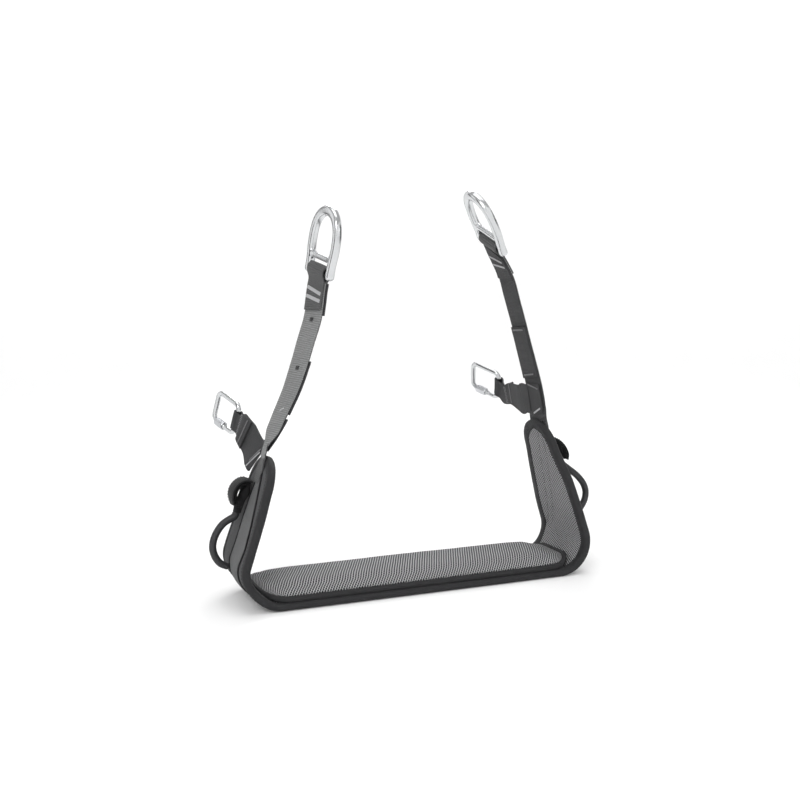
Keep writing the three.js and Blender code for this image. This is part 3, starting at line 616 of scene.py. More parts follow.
def catmull(points, n, kind="centripetal", tension=0.5):
    """Points evenly spaced by length along a Catmull-Rom curve, with tangents."""
    P = np.asarray(points, float)
    L = len(P)
    out = []
    for i in range(L - 1):
        p1, p2 = P[i], P[i + 1]
        p0 = P[i - 1] if i > 0 else 2 * P[0] - P[1]
        p3 = P[i + 2] if i + 2 < L else 2 * P[-1] - P[-2]
        k = max(24, int(2000 / L))
        t = np.linspace(0, 1, k, endpoint=i == L - 2)[:, None]
        if kind == "centripetal":
            d0, d1, d2 = (max(float(((a - b) ** 2).sum()) ** 0.25, 1e-9) for a, b in ((p0, p1), (p1, p2), (p2, p3)))
            if d1 < 1e-4:
                d1 = 1.0
            if d0 < 1e-4:
                d0 = d1
            if d2 < 1e-4:
                d2 = d1
            t1 = ((p1 - p0) / d0 - (p2 - p0) / (d0 + d1) + (p2 - p1) / d1) * d1
            t2 = ((p2 - p1) / d1 - (p3 - p1) / (d1 + d2) + (p3 - p2) / d2) * d1
        else:
            t1, t2 = tension * (p2 - p0), tension * (p3 - p1)
        out.append(p1 + t1 * t + (-3 * p1 + 3 * p2 - 2 * t1 - t2) * t ** 2 + (2 * p1 - 2 * p2 + t1 + t2) * t ** 3)
    D = np.concatenate(out)
    s = np.concatenate([[0], np.cumsum(np.linalg.norm(np.diff(D, axis=0), axis=1))])
    at = np.linspace(0, s[-1], n) if np.isscalar(n) else np.asarray(n) * s[-1]
    pos = np.stack([np.interp(at, s, D[:, k]) for k in range(3)], 1)
    e = max(s[-1] * 1e-3, 1e-6)
    a = np.stack([np.interp(np.clip(at - e, 0, s[-1]), s, D[:, k]) for k in range(3)], 1)
    b = np.stack([np.interp(np.clip(at + e, 0, s[-1]), s, D[:, k]) for k in range(3)], 1)
    tan = b - a
    tan /= np.linalg.norm(tan, axis=1)[:, None]
    return pos, tan, s[-1]


def tube(name, path, r, material, sides=12, closed=False, first=None, round_ends=True, squash=None):
    """A round tube along dense points; r is one radius or one for each point."""
    P = np.asarray(path, float)
    n = len(P)
    r = np.full(n, float(r)) if np.isscalar(r) else np.asarray(r, float)
    if closed:
        T = np.roll(P, -1, 0) - np.roll(P, 1, 0)
    else:
        T = np.gradient(P, axis=0)
    T /= np.linalg.norm(T, axis=1)[:, None]
    x = np.asarray(first if first is not None else ([0, 0, 1] if abs(T[0][2]) < 0.9 else [1, 0, 0]), float)
    X = []
    for t in T:
        x = x - t * (x @ t)
        x = x / np.linalg.norm(x)
        X.append(x)
    X = np.array(X)
    Y = np.cross(T, X)
    if closed:  # share out the twist left at the join
        x_end = X[-1] - T[0] * (X[-1] @ T[0])
        x_end /= np.linalg.norm(x_end)
        ang = math.atan2(x_end @ np.cross(T[0], X[0]), x_end @ X[0])
        fr = -ang * np.arange(n) / n
        X, Y = X * np.cos(fr)[:, None] + Y * np.sin(fr)[:, None], -X * np.sin(fr)[:, None] + Y * np.cos(fr)[:, None]
    a = np.linspace(0, 2 * math.pi, sides, endpoint=False)
    if round_ends and not closed:
        k = 3
        head, tail = [], []
        for i in range(k):
            q = (i + 0.15) / k * math.pi / 2
            head.append((P[0] - T[0] * r[0] * 0.75 * math.cos(q), r[0] * math.sin(q), X[0], Y[0]))
            tail.append((P[-1] + T[-1] * r[-1] * 0.75 * math.cos(q), r[-1] * math.sin(q), X[-1], Y[-1]))
        items = head + [(P[i], r[i], X[i], Y[i]) for i in range(n)] + tail[::-1]
    else:
        items = [(P[i], r[i], X[i], Y[i]) for i in range(n)]
    rings = []
    for p, rr, ex, ey in items:
        k1, k2 = squash or (1.0, 1.0)
        rings.append([p + ex * rr * k1 * math.cos(t) + ey * rr * k2 * math.sin(t) for t in a])
    return loft(name, rings, material, closed=closed)


def join(name, objs):
    """Joins pieces into one object and keeps each one's material and UVs."""
    objs = [o for o in objs if o]
    bpy.ops.object.select_all(action="DESELECT")
    for o in objs:
        o.select_set(True)
    bpy.context.view_layer.objects.active = objs[0]
    if len(objs) > 1:
        bpy.ops.object.join()
    o = bpy.context.view_layer.objects.active
    o.name = name
    o.data.name = name
    return o


# ------------------------------------------------------------------ the band's surface
def band(side, s, off):
    """(x, z) in mm of the band's profile at outer arc length s, off mm inward of the outer face."""
    s, off = np.asarray(s, float), np.asarray(off, float)
    s, off = np.broadcast_arrays(s, off)
    off = off + side["sag"] * np.cos(np.clip((s - 226) / 46, -1, 1) * math.pi / 2) ** 2
    full = math.radians(90 + side["lean"])
    a = np.clip((s - FLOOR_HALF) / CORNER_R, 0, full)
    end = FLOOR_HALF + CORNER_R * full
    x = np.where(s <= FLOOR_HALF, s, FLOOR_HALF + (CORNER_R - off) * np.sin(a))
    z = np.where(s <= FLOOR_HALF, off, CORNER_R - (CORNER_R - off) * np.cos(a))
    over = np.maximum(s - end, 0)
    x = x + over * math.cos(full)
    z = z + over * math.sin(full)
    return side["dir"] * x, z


def band3(side, s, y, off):
    x, z = band(side, s, off)
    x, y, z = np.broadcast_arrays(x, np.asarray(y, float), z)
    return np.stack([x, y, z], -1)


def through(xs, ys, x):
    """Smooth monotone interpolation through stations, as in the CAD."""
    xs, ys = np.asarray(xs, float), np.asarray(ys, float)
    d = np.diff(ys) / np.diff(xs)
    m = np.zeros(len(xs))
    for k in range(1, len(xs) - 1):
        m[k] = 0 if d[k - 1] * d[k] <= 0 else 2 * d[k - 1] * d[k] / (d[k - 1] + d[k])
    m[-1] = d[-1]
    x = np.clip(np.asarray(x, float), xs[0], xs[-1])
    i = np.clip(np.searchsorted(xs, x, side="right") - 1, 0, len(xs) - 2)
    h = xs[i + 1] - xs[i]
    t = (x - xs[i]) / h
    return ys[i] * (1 + 2 * t) * (1 - t) ** 2 + m[i] * h * t * (1 - t) ** 2 + ys[i + 1] * t * t * (3 - 2 * t) + m[i + 1] * h * t * t * (t - 1)


def outline(side, step=2.5, tip=44):
    """Points (s, y) from the middle of the front edge round the wing tip to the middle of the back edge, and their inward normals."""
    s0 = FLOOR_HALF + 0.5 * CORNER_R * math.radians(90 + side["lean"])
    sr = side["arc"] - TIP_LEN
    ks = [0, s0, s0 + (sr - s0) * 0.35, s0 + (sr - s0) * 0.7, sr]
    f = lambda s: through(ks, [HALF_DEPTH, HALF_DEPTH, *side["front"]], s)
    b = lambda s: through(ks, [HALF_DEPTH, HALF_DEPTH, *side["back"]], s)
    S = np.linspace(0, sr, int(sr / step) + 1)
    mid, hw = (b(sr) - f(sr)) / 2, (b(sr) + f(sr)) / 2
    a = np.linspace(-math.pi / 2, math.pi / 2, tip + 1)
    front = np.stack([S, -f(S)], 1)
    top = np.stack([sr + TIP_LEN * np.cos(a), mid + hw * np.sin(a)], 1)
    back = np.stack([S, b(S)], 1)[::-1]
    pts = np.concatenate([front, top[1:-1], back])
    t = np.gradient(pts, axis=0)
    t /= np.linalg.norm(t, axis=1)[:, None]
    for _ in range(3):
        t[1:-1] = (t[:-2] + 2 * t[1:-1] + t[2:]) / 4
        t /= np.linalg.norm(t, axis=1)[:, None]
    t[0], t[-1] = (1, 0), (-1, 0)
    nrm = np.stack([-t[:, 1], t[:, 0]], 1)
    return pts, nrm


def widths(side, s, inset):
    """Front and back y of the outline moved inward, at arc lengths s."""
    pts, nrm = outline(side)
    q = pts + nrm * inset
    k = int(np.argmax(q[:, 0]))
    front, back = q[:k + 1], q[k:][::-1]
    y0 = np.interp(s, front[:, 0], front[:, 1])
    y1 = np.interp(s, back[:, 0], back[:, 1])
    return y0, y1, float(q[k, 0])


def pillow(side, inset, lines, s_from, power=0.62, pin=1.6):
    """Height 0..1 of a stuffed panel held down along its edge and along sewn lines, as a function of (s, y)."""
    h = 1.5
    S = np.arange(s_from, side["arc"] + 6, h)
    Y = np.arange(-64, 64.01, h)
    y0, y1, top = widths(side, S, inset)
    inside = (Y[None, :] > y0[:, None]) & (Y[None, :] < y1[:, None]) & (S[:, None] < top)
    gs, gy = np.meshgrid(S, Y, indexing="ij")
    for line in lines:
        line = np.asarray(line, float)
        for a, b in zip(line[:-1], line[1:]):
            ab = b - a
            t = np.clip(((gs - a[0]) * ab[0] + (gy - a[1]) * ab[1]) / (ab @ ab), 0, 1)
            inside &= np.hypot(gs - a[0] - t * ab[0], gy - a[1] - t * ab[1]) > pin * 0.5
    u = np.zeros_like(gs)
    for _ in range(900):
        u[1:-1, 1:-1] = 0.25 * (u[:-2, 1:-1] + u[2:, 1:-1] + u[1:-1, :-2] + u[1:-1, 2:] + 1.0)
        u[0] = u[1]
        u *= inside
    u = u / max(u.max(), 1e-9)
    u = u ** power

    def at(s, y):
        i = np.clip((np.asarray(s, float) - S[0]) / h, 0, len(S) - 1.001)
        j = np.clip((np.asarray(y, float) - Y[0]) / h, 0, len(Y) - 1.001)
        i0, j0 = i.astype(int), j.astype(int)
        a, b = i - i0, j - j0
        return (u[i0, j0] * (1 - a) * (1 - b) + u[i0 + 1, j0] * a * (1 - b) + u[i0, j0 + 1] * (1 - a) * b + u[i0 + 1, j0 + 1] * a * b)
    return at


def slab(name, side, inset, top, bottom, material, cols=76, step=2.6, angle=60.0):
    """A thin layer of the band between two offset functions of (s, y), from the middle of the seat to the wing tip."""
    _, _, smax = widths(side, np.array([0.0]), inset)
    sr = side["arc"] - TIP_LEN
    S = np.concatenate([np.arange(0, sr, step), sr + (smax - 0.05 - sr) * np.sin(np.linspace(0, math.pi / 2, 26))])
    y0, y1, _ = widths(side, S, inset)
    k = np.linspace(0, 1, cols)
    Yg = y0[:, None] + (y1 - y0)[:, None] * k[None, :]
    Sg = np.repeat(S[:, None], cols, 1)
    A, B = band3(side, Sg, Yg, top(Sg, Yg)), band3(side, Sg, Yg, bottom(Sg, Yg))
    m = len(S)
    verts = np.concatenate([A.reshape(-1, 3), B.reshape(-1, 3)])
    faces, uvs = [], []
    ia = lambda i, j: i * cols + j
    ib = lambda i, j: m * cols + i * cols + j
    uv = lambda i, j, e=0.0: ((S[i] + e) * MM * side["dir"], Yg[i, j] * MM)
    for i in range(m - 1):
        for j in range(cols - 1):
            faces.append((ia(i, j), ia(i + 1, j), ia(i + 1, j + 1), ia(i, j + 1)))
            uvs.append([uv(i, j), uv(i + 1, j), uv(i + 1, j + 1), uv(i, j + 1)])
            faces.append((ib(i, j), ib(i, j + 1), ib(i + 1, j + 1), ib(i + 1, j)))
            uvs.append([uv(i, j), uv(i, j + 1), uv(i + 1, j + 1), uv(i + 1, j)])
        for j, f in ((0, 0), (cols - 1, 1)):
            q = (ia(i, j), ib(i, j), ib(i + 1, j), ia(i + 1, j))
            w = [uv(i, j), uv(i, j, 4), uv(i + 1, j, 4), uv(i + 1, j)]
            faces.append(q if f == 0 else q[::-1])
            uvs.append(w if f == 0 else w[::-1])
    for i, f in ((0, 1), (m - 1, 0)):
        for j in range(cols - 1):
            q = (ia(i, j), ib(i, j), ib(i, j + 1), ia(i, j + 1))
            w = [uv(i, j), uv(i, j, 4), uv(i, j + 1, 4), uv(i, j + 1)]
            faces.append(q if f == 0 else q[::-1])
            uvs.append(w if f == 0 else w[::-1])
    # one winding for the whole shell: the lower grid runs the other way round
    return _shell(name, verts, faces, uvs, material, angle)


def _shell(name, verts, faces, uvs, material, angle):
    o = make(name, verts, faces, material, uvs, angle)
    bm = bmesh.new()
    bm.from_mesh(o.data)
    bmesh.ops.recalc_face_normals(bm, faces=bm.faces)
    bm.to_mesh(o.data)
    bm.free()
    outward(o.data)
    o.data.set_sharp_from_angle(angle=math.radians(angle))
    return o


def blend_fold(o, name):
    """A band piece follows the seat below the fold and the wing above it."""
    side = SIDES[name]
    p = []
    for deg in (8, 62):
        a = math.radians(deg)
        r = CORNER_R - BAND_T / 2
        p.append((side["dir"] * (FLOOR_HALF + r * math.sin(a)) * MM, 0, (CORNER_R - r * math.cos(a)) * MM))
    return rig.blend(o, "seat", f"wing_{name}", start=p[0], end=p[1])


# sewn lines, (s, y) in mm
CHANNELS = {
    "right": [[(417, -14), (395, -6), (373, 2), (348, 9), (305, 22), (280, 33), (262, 44)],
              [(408, -19), (390, -19), (374, -16), (346, -7), (309, 5), (285, 15), (262, 32)]],
    "left": [[(393, -14), (371, -6), (349, 2), (325, 9), (290, 22), (272, 33), (256, 44)],
             [(384, -19), (366, -19), (350, -16), (322, -7), (294, 5), (276, 15), (256, 32)]],
}


def seam_y(side, s):
    """Half width of the load webbing and the middle it is sewn along, on the wing's outer face."""
    end = side["arc"]
    at = [0, 225, end - 111, end - 81, end - 50, end - 20, end]
    mid = np.interp(s, at, [0, 0, -17, -15.5, -13.5, -12.5, -12])
    half = np.interp(s, at, [21.8, 21.8, 26, 23.5, 16.5, 6.5, 5.0])
    return mid, half


def build_band(name):
    side = SIDES[name]
    d = side["dir"]
    # inner mesh, puffed between its edge and the two sewn channels
    puff = pillow(side, 7.0, CHANNELS[name], 205.0)

    def inner(s, y):
        on = smooth((s - 212) / 30)
        h = 3.6 * puff(s, y) * on
        fold = np.zeros_like(h)
        for s0, y0, ang, ln, wd, am in ((252, 22, 0.95, 26, 3.2, 1.0), (246, 2, 0.7, 30, 3.6, 0.8), (243, -22, 0.35, 24, 3.4, 0.55), (268, -30, 0.2, 22, 4.5, 0.4), (300, -34, 1.2, 30, 6.0, 0.35), (338, -28, 1.35, 28, 5.5, 0.3)):
            ds, dy = s - s0, y - y0
            a = ds * math.cos(ang) + dy * math.sin(ang)
            b = -ds * math.sin(ang) + dy * math.cos(ang)
            fold = fold + am * np.exp(-(b / wd) ** 2 - (a / ln) ** 2)
        return BAND_T - 0.9 + h - 1.3 * fold * on + 0.12 * wob(s * 0.11 + y * 0.07, 3.0) * on

    pad = slab(f"inner_mesh_{name}", side, 4.6, inner, lambda s, y: np.full_like(s, BAND_T - 2.6) + 0.0 * y, "mesh")
    blend_fold(pad, name)
    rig.replaces(pad, f"wing_pad_{name}", *(["base_pad"] if name == "left" else []))
    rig.slot(pad, "mesh")
    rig.padded(pad, 0.5)

    # outer cover: a front and a back panel either side of the sewn load webbing
    seams = []
    for sg in (-1, 1):
        line = []
        for s in np.linspace(120, side["arc"] - 4, 40):
            mid, half = seam_y(side, s)
            line.append((s, float(mid + sg * half)))
        seams.append(line)
    bulge = pillow(side, 8.5, seams, 150.0, 0.55, 2.4)

    def outer(s, y):
        mid, half = seam_y(side, s)
        inside = np.abs(y - mid) < half
        on = smooth((s - 170) / 50)
        h = bulge(s, y) * on
        amp = np.where(inside, 1.3, 2.2)
        return 0.45 - amp * h + 0.10 * wob(s * 0.09 + y * 0.05, 1.0) * on

    cover = slab(f"outer_cover_{name}", side, 4.6, outer, lambda s, y: np.full_like(s, 2.0) + 0.0 * y, "cover")
    blend_fold(cover, name)
    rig.replaces(cover, f"wing_cover_{name}", *(["base_cover"] if name == "left" else []))
    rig.slot(cover, "cover")

    # load webbing up the middle of the outer face, between two dark seams
    S = np.linspace(0, side["arc"] - 1.0, 190)
    rings = []
    nc = 15
    for s in S:
        mid, half = seam_y(side, s)
        w = half - 1.1
        e = np.linspace(-1, 1, nc)
        y = mid + e * w
        on = float(smooth((s - 170) / 50))
        crown = 0.45 * (1 - np.abs(e) ** 5) + 1.5 * on * (1 - e ** 2) * min(1.0, w / 14)
        lift = 0.15 + 0.45 * on
        outp = band3(side, s, y, -(lift + crown))
        inp = band3(side, s, y[::-1], np.full(nc, 0.35))
        rings.append(np.concatenate([outp, inp]))
    web = loft(f"load_webbing_{name}", rings, "strip", u=S, v=np.concatenate([np.linspace(0, 41, nc), np.linspace(42, 83, nc + 1)]), angle=50)
    blend_fold(web, name)
    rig.replaces(web, f"wing_web_{name}")
    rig.slot(web, "webbing")
    cords = []
    for sg in (-1, 1):
        P = []
        for s in np.linspace(0, side["arc"] - 2.0, 260):
            mid, half = seam_y(side, s)
            P.append(band3(side, s, mid + sg * (half + 0.2), -0.1 - 0.45 * float(smooth((s - 170) / 50))))
        cords.append(tube(f"seam_cord_{name}_{'front' if sg < 0 else 'back'}", np.array(P), 1.15, "cord", 8))
    both = join(f"seam_cords_{name}", cords)
    blend_fold(both, name)
    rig.slot(both, "trim")

    # rolled edge binding, from the middle of the front edge round the tip to the middle of the back edge
    pts, nrm = outline(side, 2.2, 56)
    arc = np.concatenate([[0], np.cumsum(np.linalg.norm(np.diff(pts, axis=0), axis=1))])
    T = BAND_T
    prof = np.array([(8.6, -0.35), (6.2, -0.75), (3.4, -0.75), (1.1, -0.35), (-0.35, 0.9), (-0.75, 2.6), (-0.85, T / 2), (-0.75, T - 2.6), (-0.35, T - 0.9),
                     (1.1, T + 0.45), (3.6, T + 0.95), (6.4, T + 0.95), (8.3, T + 0.6), (9.1, T + 0.1), (8.9, T - 0.8), (8.6, T - 1.8), (8.6, T / 2), (8.6, 1.6), (8.8, 0.5)])
    rings = []
    for k, (p, nn) in enumerate(zip(pts, nrm)):
        pk = 0.22 * wob(arc[k] * 0.21, 0.4 + d) + 0.16 * math.sin(arc[k] * 1.35)
        floor = 1 - float(smooth((p[0] - 170) / 45))
        wide = 1 + (1 - floor) * (0.16 + 0.42 * float(smooth(p[1] / 30 + 0.3)))
        ring = []
        for dd, off in prof:
            q = dd * (wide if off > T / 2 and dd > 3 else 1) + (0.35 * pk if dd > 5 else 0)
            o = off
            if off > T / 2:
                o = off + 0.30 * pk * (1 - floor) - floor * 1.7 * (1 if dd < 9.5 else 0)
            else:
                o = off - 0.22 * pk * (1 - floor) + floor * (0.35 if off < 0 else 0)
            sy = p + nn * q
            ring.append(band3(side, sy[0], sy[1], o))
        rings.append(ring)
    bind = loft(f"edge_binding_{name}", rings, "trim", u=arc, angle=55)
    blend_fold(bind, name)
    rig.replaces(bind, f"wing_binding_{name}", *(["floor_binding_front", "floor_binding_back"] if name == "left" else []))
    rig.slot(bind, "trim")

    # lock stitching along the binding, on both faces
    st = []
    for face, dd in ((0, 6.9), (1, 7.2)):
        k = 1 + np.array([float(smooth((p[0] - 170) / 45)) * (0.16 + 0.42 * float(smooth(p[1] / 30 + 0.3))) for p in pts])
        q = pts + nrm * dd * (k[:, None] if face else 1)
        ln = np.concatenate([[0], np.cumsum(np.linalg.norm(np.diff(q, axis=0), axis=1))])
        at = np.arange(4.0, ln[-1] - 4, 4.2)
        for a in at:
            seg = []
            for b in (0.0, 1.0, 2.0, 2.9):
                sy = np.array([np.interp(a + b, ln, q[:, k]) for k in range(2)])
                fl = 1 - float(smooth((sy[0] - 170) / 45))
                if face:
                    o = T + 0.95 - 1.7 * fl + (0.22 if b in (1.0, 2.0) else 0.0)
                else:
                    o = -0.72 + 0.35 * fl - (0.22 if b in (1.0, 2.0) else 0.0)
                seg.append(band3(side, sy[0], sy[1], o))
            if face and a < 175 or face and a > ln[-1] - 175:
                continue
            st.append(np.array(seg))
    stitch = stitches(f"binding_stitches_{name}", st, 0.34, "black_thread")
    blend_fold(stitch, name)
    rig.slot(stitch, "trim")

    # thread rows in the two channels
    st = []
    for line in CHANNELS[name]:
        P, _, ln = catmull([(s, y, 0) for s, y in line], 400)
        at = np.arange(2, ln - 4, 3.6)
        for a in at:
            seg = []
            for b, up in ((0, -0.05), (0.9, 0.22), (1.8, 0.22), (2.6, -0.05)):
                k = (a + b) / ln * 399
                k0 = int(k)
                p = P[k0] + (P[min(k0 + 1, 399)] - P[k0]) * (k - k0)
                s1, y1 = np.array([p[0]]), np.array([p[1]])
                seg.append(band3(side, s1, y1, inner(s1, y1) + up)[0])
            st.append(np.array(seg))
    ch = stitches(f"channel_stitches_{name}", st, 0.3, "black_thread")
    blend_fold(ch, name)
    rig.slot(ch, "trim")

    # small dark tack near the tip of the inner face
    c = CHANNELS[name][0][0]
    rings = []
    for t in np.linspace(-1, 1, 14):
        y = c[1] + 1 + t * 4.6
        k = 0.9 * (1 - abs(t) ** 6)
        base = BAND_T - 0.6
        rings.append([band3(side, c[0] + a, y, base + k * b) for a, b in ((-1.6, 0), (-1.5, 0.8), (-0.7, 1.4), (0.7, 1.4), (1.5, 0.8), (1.6, 0))])
    tack = loft(f"tip_tack_{name}", rings, "black_thread")
    blend_fold(tack, name)
    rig.slot(tack, "trim")
    return inner


def stitches(name, segs, r, material, sides=6):
    """Many short thread stitches as one mesh."""
    verts, faces, uvs = [], [], []
    for P in segs:
        n = len(P)
        T = np.gradient(P, axis=0)
        T /= np.linalg.norm(T, axis=1)[:, None]
        x = np.array([0.3, 0.2, 0.93])
        base = len(verts)
        rad = [0.45] + [1.0] * (n - 2) + [0.45]
        for i in range(n):
            x = x - T[i] * (x @ T[i])
            x = x / np.linalg.norm(x)
            y = np.cross(T[i], x)
            for j in range(sides):
                a = 2 * math.pi * j / sides
                verts.append(P[i] + (x * math.cos(a) + y * math.sin(a)) * r * rad[i])
        for i in range(n - 1):
            for j in range(sides):
                j2 = (j + 1) % sides
                faces.append((base + i * sides + j, base + i * sides + j2, base + (i + 1) * sides + j2, base + (i + 1) * sides + j))
                uvs.append([(0, 0)] * 4)
        faces.append(tuple(base + j for j in range(sides - 1, -1, -1)))
        uvs.append([(0, 0)] * sides)
        faces.append(tuple(base + (n - 1) * sides + j for j in range(sides)))
        uvs.append([(0, 0)] * sides)
    return make(name, verts, faces, material, uvs, 70)


for side_name in ("left", "right"):
    build_band(side_name)


# ------------------------------------------------------------------ cushion
def rounded(hx, hy, r, n=240):
    """Points evenly spaced round a rounded rectangle, with outward normals."""
    P, N = [], []
    for cx, cy, a0 in ((hx - r, hy - r, 0), (-hx + r, hy - r, 90), (-hx + r, -hy + r, 180), (hx - r, -hy + r, 270)):
        for i in range(25):
            a = math.radians(a0 + 90 * i / 24)
            P.append((cx + r * math.cos(a), cy + r * math.sin(a)))
            N.append((math.cos(a), math.sin(a)))
    P, N = np.array(P + P[:1]), np.array(N + N[:1])
    s = np.concatenate([[0], np.cumsum(np.linalg.norm(np.diff(P, axis=0), axis=1))])
    at = np.linspace(0, s[-1], n, endpoint=False)
    p = np.stack([np.interp(at, s, P[:, k]) for k in range(2)], 1)
    q = np.stack([np.interp(at, s, N[:, k]) for k in range(2)], 1)
    return p, q / np.linalg.norm(q, axis=1)[:, None], at


def edge_distance(x, y, hx, hy, r):
    """Distance inward from a rounded rectangle's edge (mm), and the outward direction."""
    qx, qy = np.abs(x) - (hx - r), np.abs(y) - (hy - r)
    ax, ay = np.maximum(qx, 0), np.maximum(qy, 0)
    ln = np.hypot(ax, ay)
    dist = r - np.where((qx > 0) | (qy > 0), ln, np.maximum(qx, qy))
    nx = np.where(ln > 1e-6, ax / np.maximum(ln, 1e-6), np.where(qx > qy, 1.0, 0.0)) * np.sign(x)
    ny = np.where(ln > 1e-6, ay / np.maximum(ln, 1e-6), np.where(qx > qy, 0.0, 1.0)) * np.sign(y)
    return dist, nx, ny


def build_cushion():
    reach = CUSHION["x"] + 6.5
    hx, hy, r = reach - 3.4, CUSHION["y"] - 3.4, CUSHION["r"] - 3.4
    z0, z1 = CUSHION["z0"] + 1.2, CUSHION["z1"]
    Ri = CORNER_R - BAND_T

    def lift(x):
        x = np.asarray(x, float)
        soft = 2.6 * smooth((-x - 178) / 26)
        x = np.maximum(0, np.abs(x) - 188.5)
        return Ri - np.sqrt(np.maximum(Ri * Ri - x * x, 1.0)) + soft
    rings = []
    levels = [(z0, 3.0), (z0 + 1.5, 0.8), (z0 + 4, 0.0), (z0 + 7.4, 0.4), (z0 + 10.6, 2.6), (z0 + 13.2, 7.0), (z0 + 15.0, 14.0), (z0 + 15.8, 24.0), (z0 + 16.0, 38.0)]
    for z, dd in levels:
        p, _, _ = rounded(hx - dd, hy - dd, max(r - dd, 3.0), 120)
        rings.append([(x, y, z) for x, y in p])
    o = loft("cushion", rings, "mesh", angle=180)
    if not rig.quick():
        bpy.context.view_layer.objects.active = o
        mod = o.modifiers.new("remesh", "REMESH")
        mod.mode = "VOXEL"
        mod.voxel_size = 0.0048
        bpy.ops.object.modifier_apply(modifier="remesh")
        rest = np.zeros(len(o.data.vertices) * 3)
        o.data.vertices.foreach_get("co", rest)
        rest = rest.reshape(-1, 3)
        vg = o.vertex_groups.new(name="pin")
        low = [int(i) for i in np.nonzero(rest[:, 2] < (z0 + 4.0) * MM)[0]]
        vg.add(low, 1.0, "REPLACE")
        cl = o.modifiers.new("cloth", "CLOTH")
        cs = cl.settings
        cs.quality = 6
        cs.mass = 0.25
        cs.tension_stiffness = cs.compression_stiffness = 22
        cs.shear_stiffness = 12
        cs.bending_stiffness = 1.2
        cs.use_pressure = True
        cs.uniform_pressure_force = 4.0
        cs.vertex_group_mass = "pin"
        cs.effector_weights.gravity = 0.0
        cl.collision_settings.use_self_collision = False
        sc = bpy.context.scene
        for f in range(1, 21):
            sc.frame_set(f)
        bpy.context.view_layer.objects.active = o
        bpy.ops.object.modifier_apply(modifier="cloth")
        sc.frame_set(1)
        co = np.zeros(len(o.data.vertices) * 3)
        o.data.vertices.foreach_get("co", co)
        co = co.reshape(-1, 3)
        mv = co - rest
        ln = np.linalg.norm(mv, axis=1)
        cap = 4.5 * MM
        k = np.where(ln > cap, cap / np.maximum(ln, 1e-9), 1.0)
        co = rest + mv * k[:, None]
        o.data.vertices.foreach_set("co", co.ravel())
        o.vertex_groups.clear()
    sub = o.modifiers.new("fine", "SUBSURF")
    sub.levels = sub.render_levels = 1
    bpy.context.view_layer.objects.active = o
    bpy.ops.object.modifier_apply(modifier="fine")
    me = o.data
    co = np.zeros(len(me.vertices) * 3)
    me.vertices.foreach_get("co", co)
    co = co.reshape(-1, 3) / MM
    # seam: the mesh dips where it is tucked into its binding, and the crown keeps to the height of the pad
    dist, nx, ny = edge_distance(co[:, 0], co[:, 1], hx, hy, r)
    top = co[:, 2] > z0 + 5
    dip = 1.1 * np.exp(-((dist - 1.5) / 3.2) ** 2) * top
    co[:, 2] -= dip
    crown = 1.4 * (1 - (co[:, 1] / hy) ** 2) * smooth(dist / 16)
    tall = z1 + 2.2
    zz = co[:, 2] + crown * 0.5
    zz = np.where(zz > tall - 2, tall - 2 + 2 * (1 - np.exp(-(zz - tall + 2) / 2)), zz)
    co[:, 2] = np.where(top, zz, co[:, 2])
    co[:, 2] += 0.22 * wob(co[:, 0] * 0.045 + co[:, 1] * 0.03, 0.7) * smooth(dist / 14) * top
    co[:, 2] = np.maximum(co[:, 2], z0 - 0.6)
    flat_z = co[:, 2].copy()
    end = smooth((np.abs(co[:, 0]) - 176) / 36)
    co[:, 2] = z0 + (co[:, 2] - z0) * (1 - 0.30 * end) + lift(co[:, 0])
    me.vertices.foreach_set("co", (co * MM).ravel())
    # fabric coordinates: flat on top, running on down the sides
    ztop = z1 - 2
    k = smooth((14 - dist) / 10)
    fx = co[:, 0] + nx * np.maximum(ztop - flat_z, 0) * k
    fy = co[:, 1] + ny * np.maximum(ztop - flat_z, 0) * k
    while me.uv_layers:
        me.uv_layers.remove(me.uv_layers[0])
    layer = me.uv_layers.new(name="UVMap")
    idx = np.zeros(len(me.loops), np.int32)
    me.loops.foreach_get("vertex_index", idx)
    layer.data.foreach_set("uv", (np.stack([fx, fy], 1)[idx] * MM).astype(np.float32).ravel())
    me.polygons.foreach_set("use_smooth", [True] * len(me.polygons))
    me.update()
    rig.ride(o, "seat")
    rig.replaces(o, "cushion_pad")
    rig.slot(o, "mesh")
    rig.padded(o, 0.8)

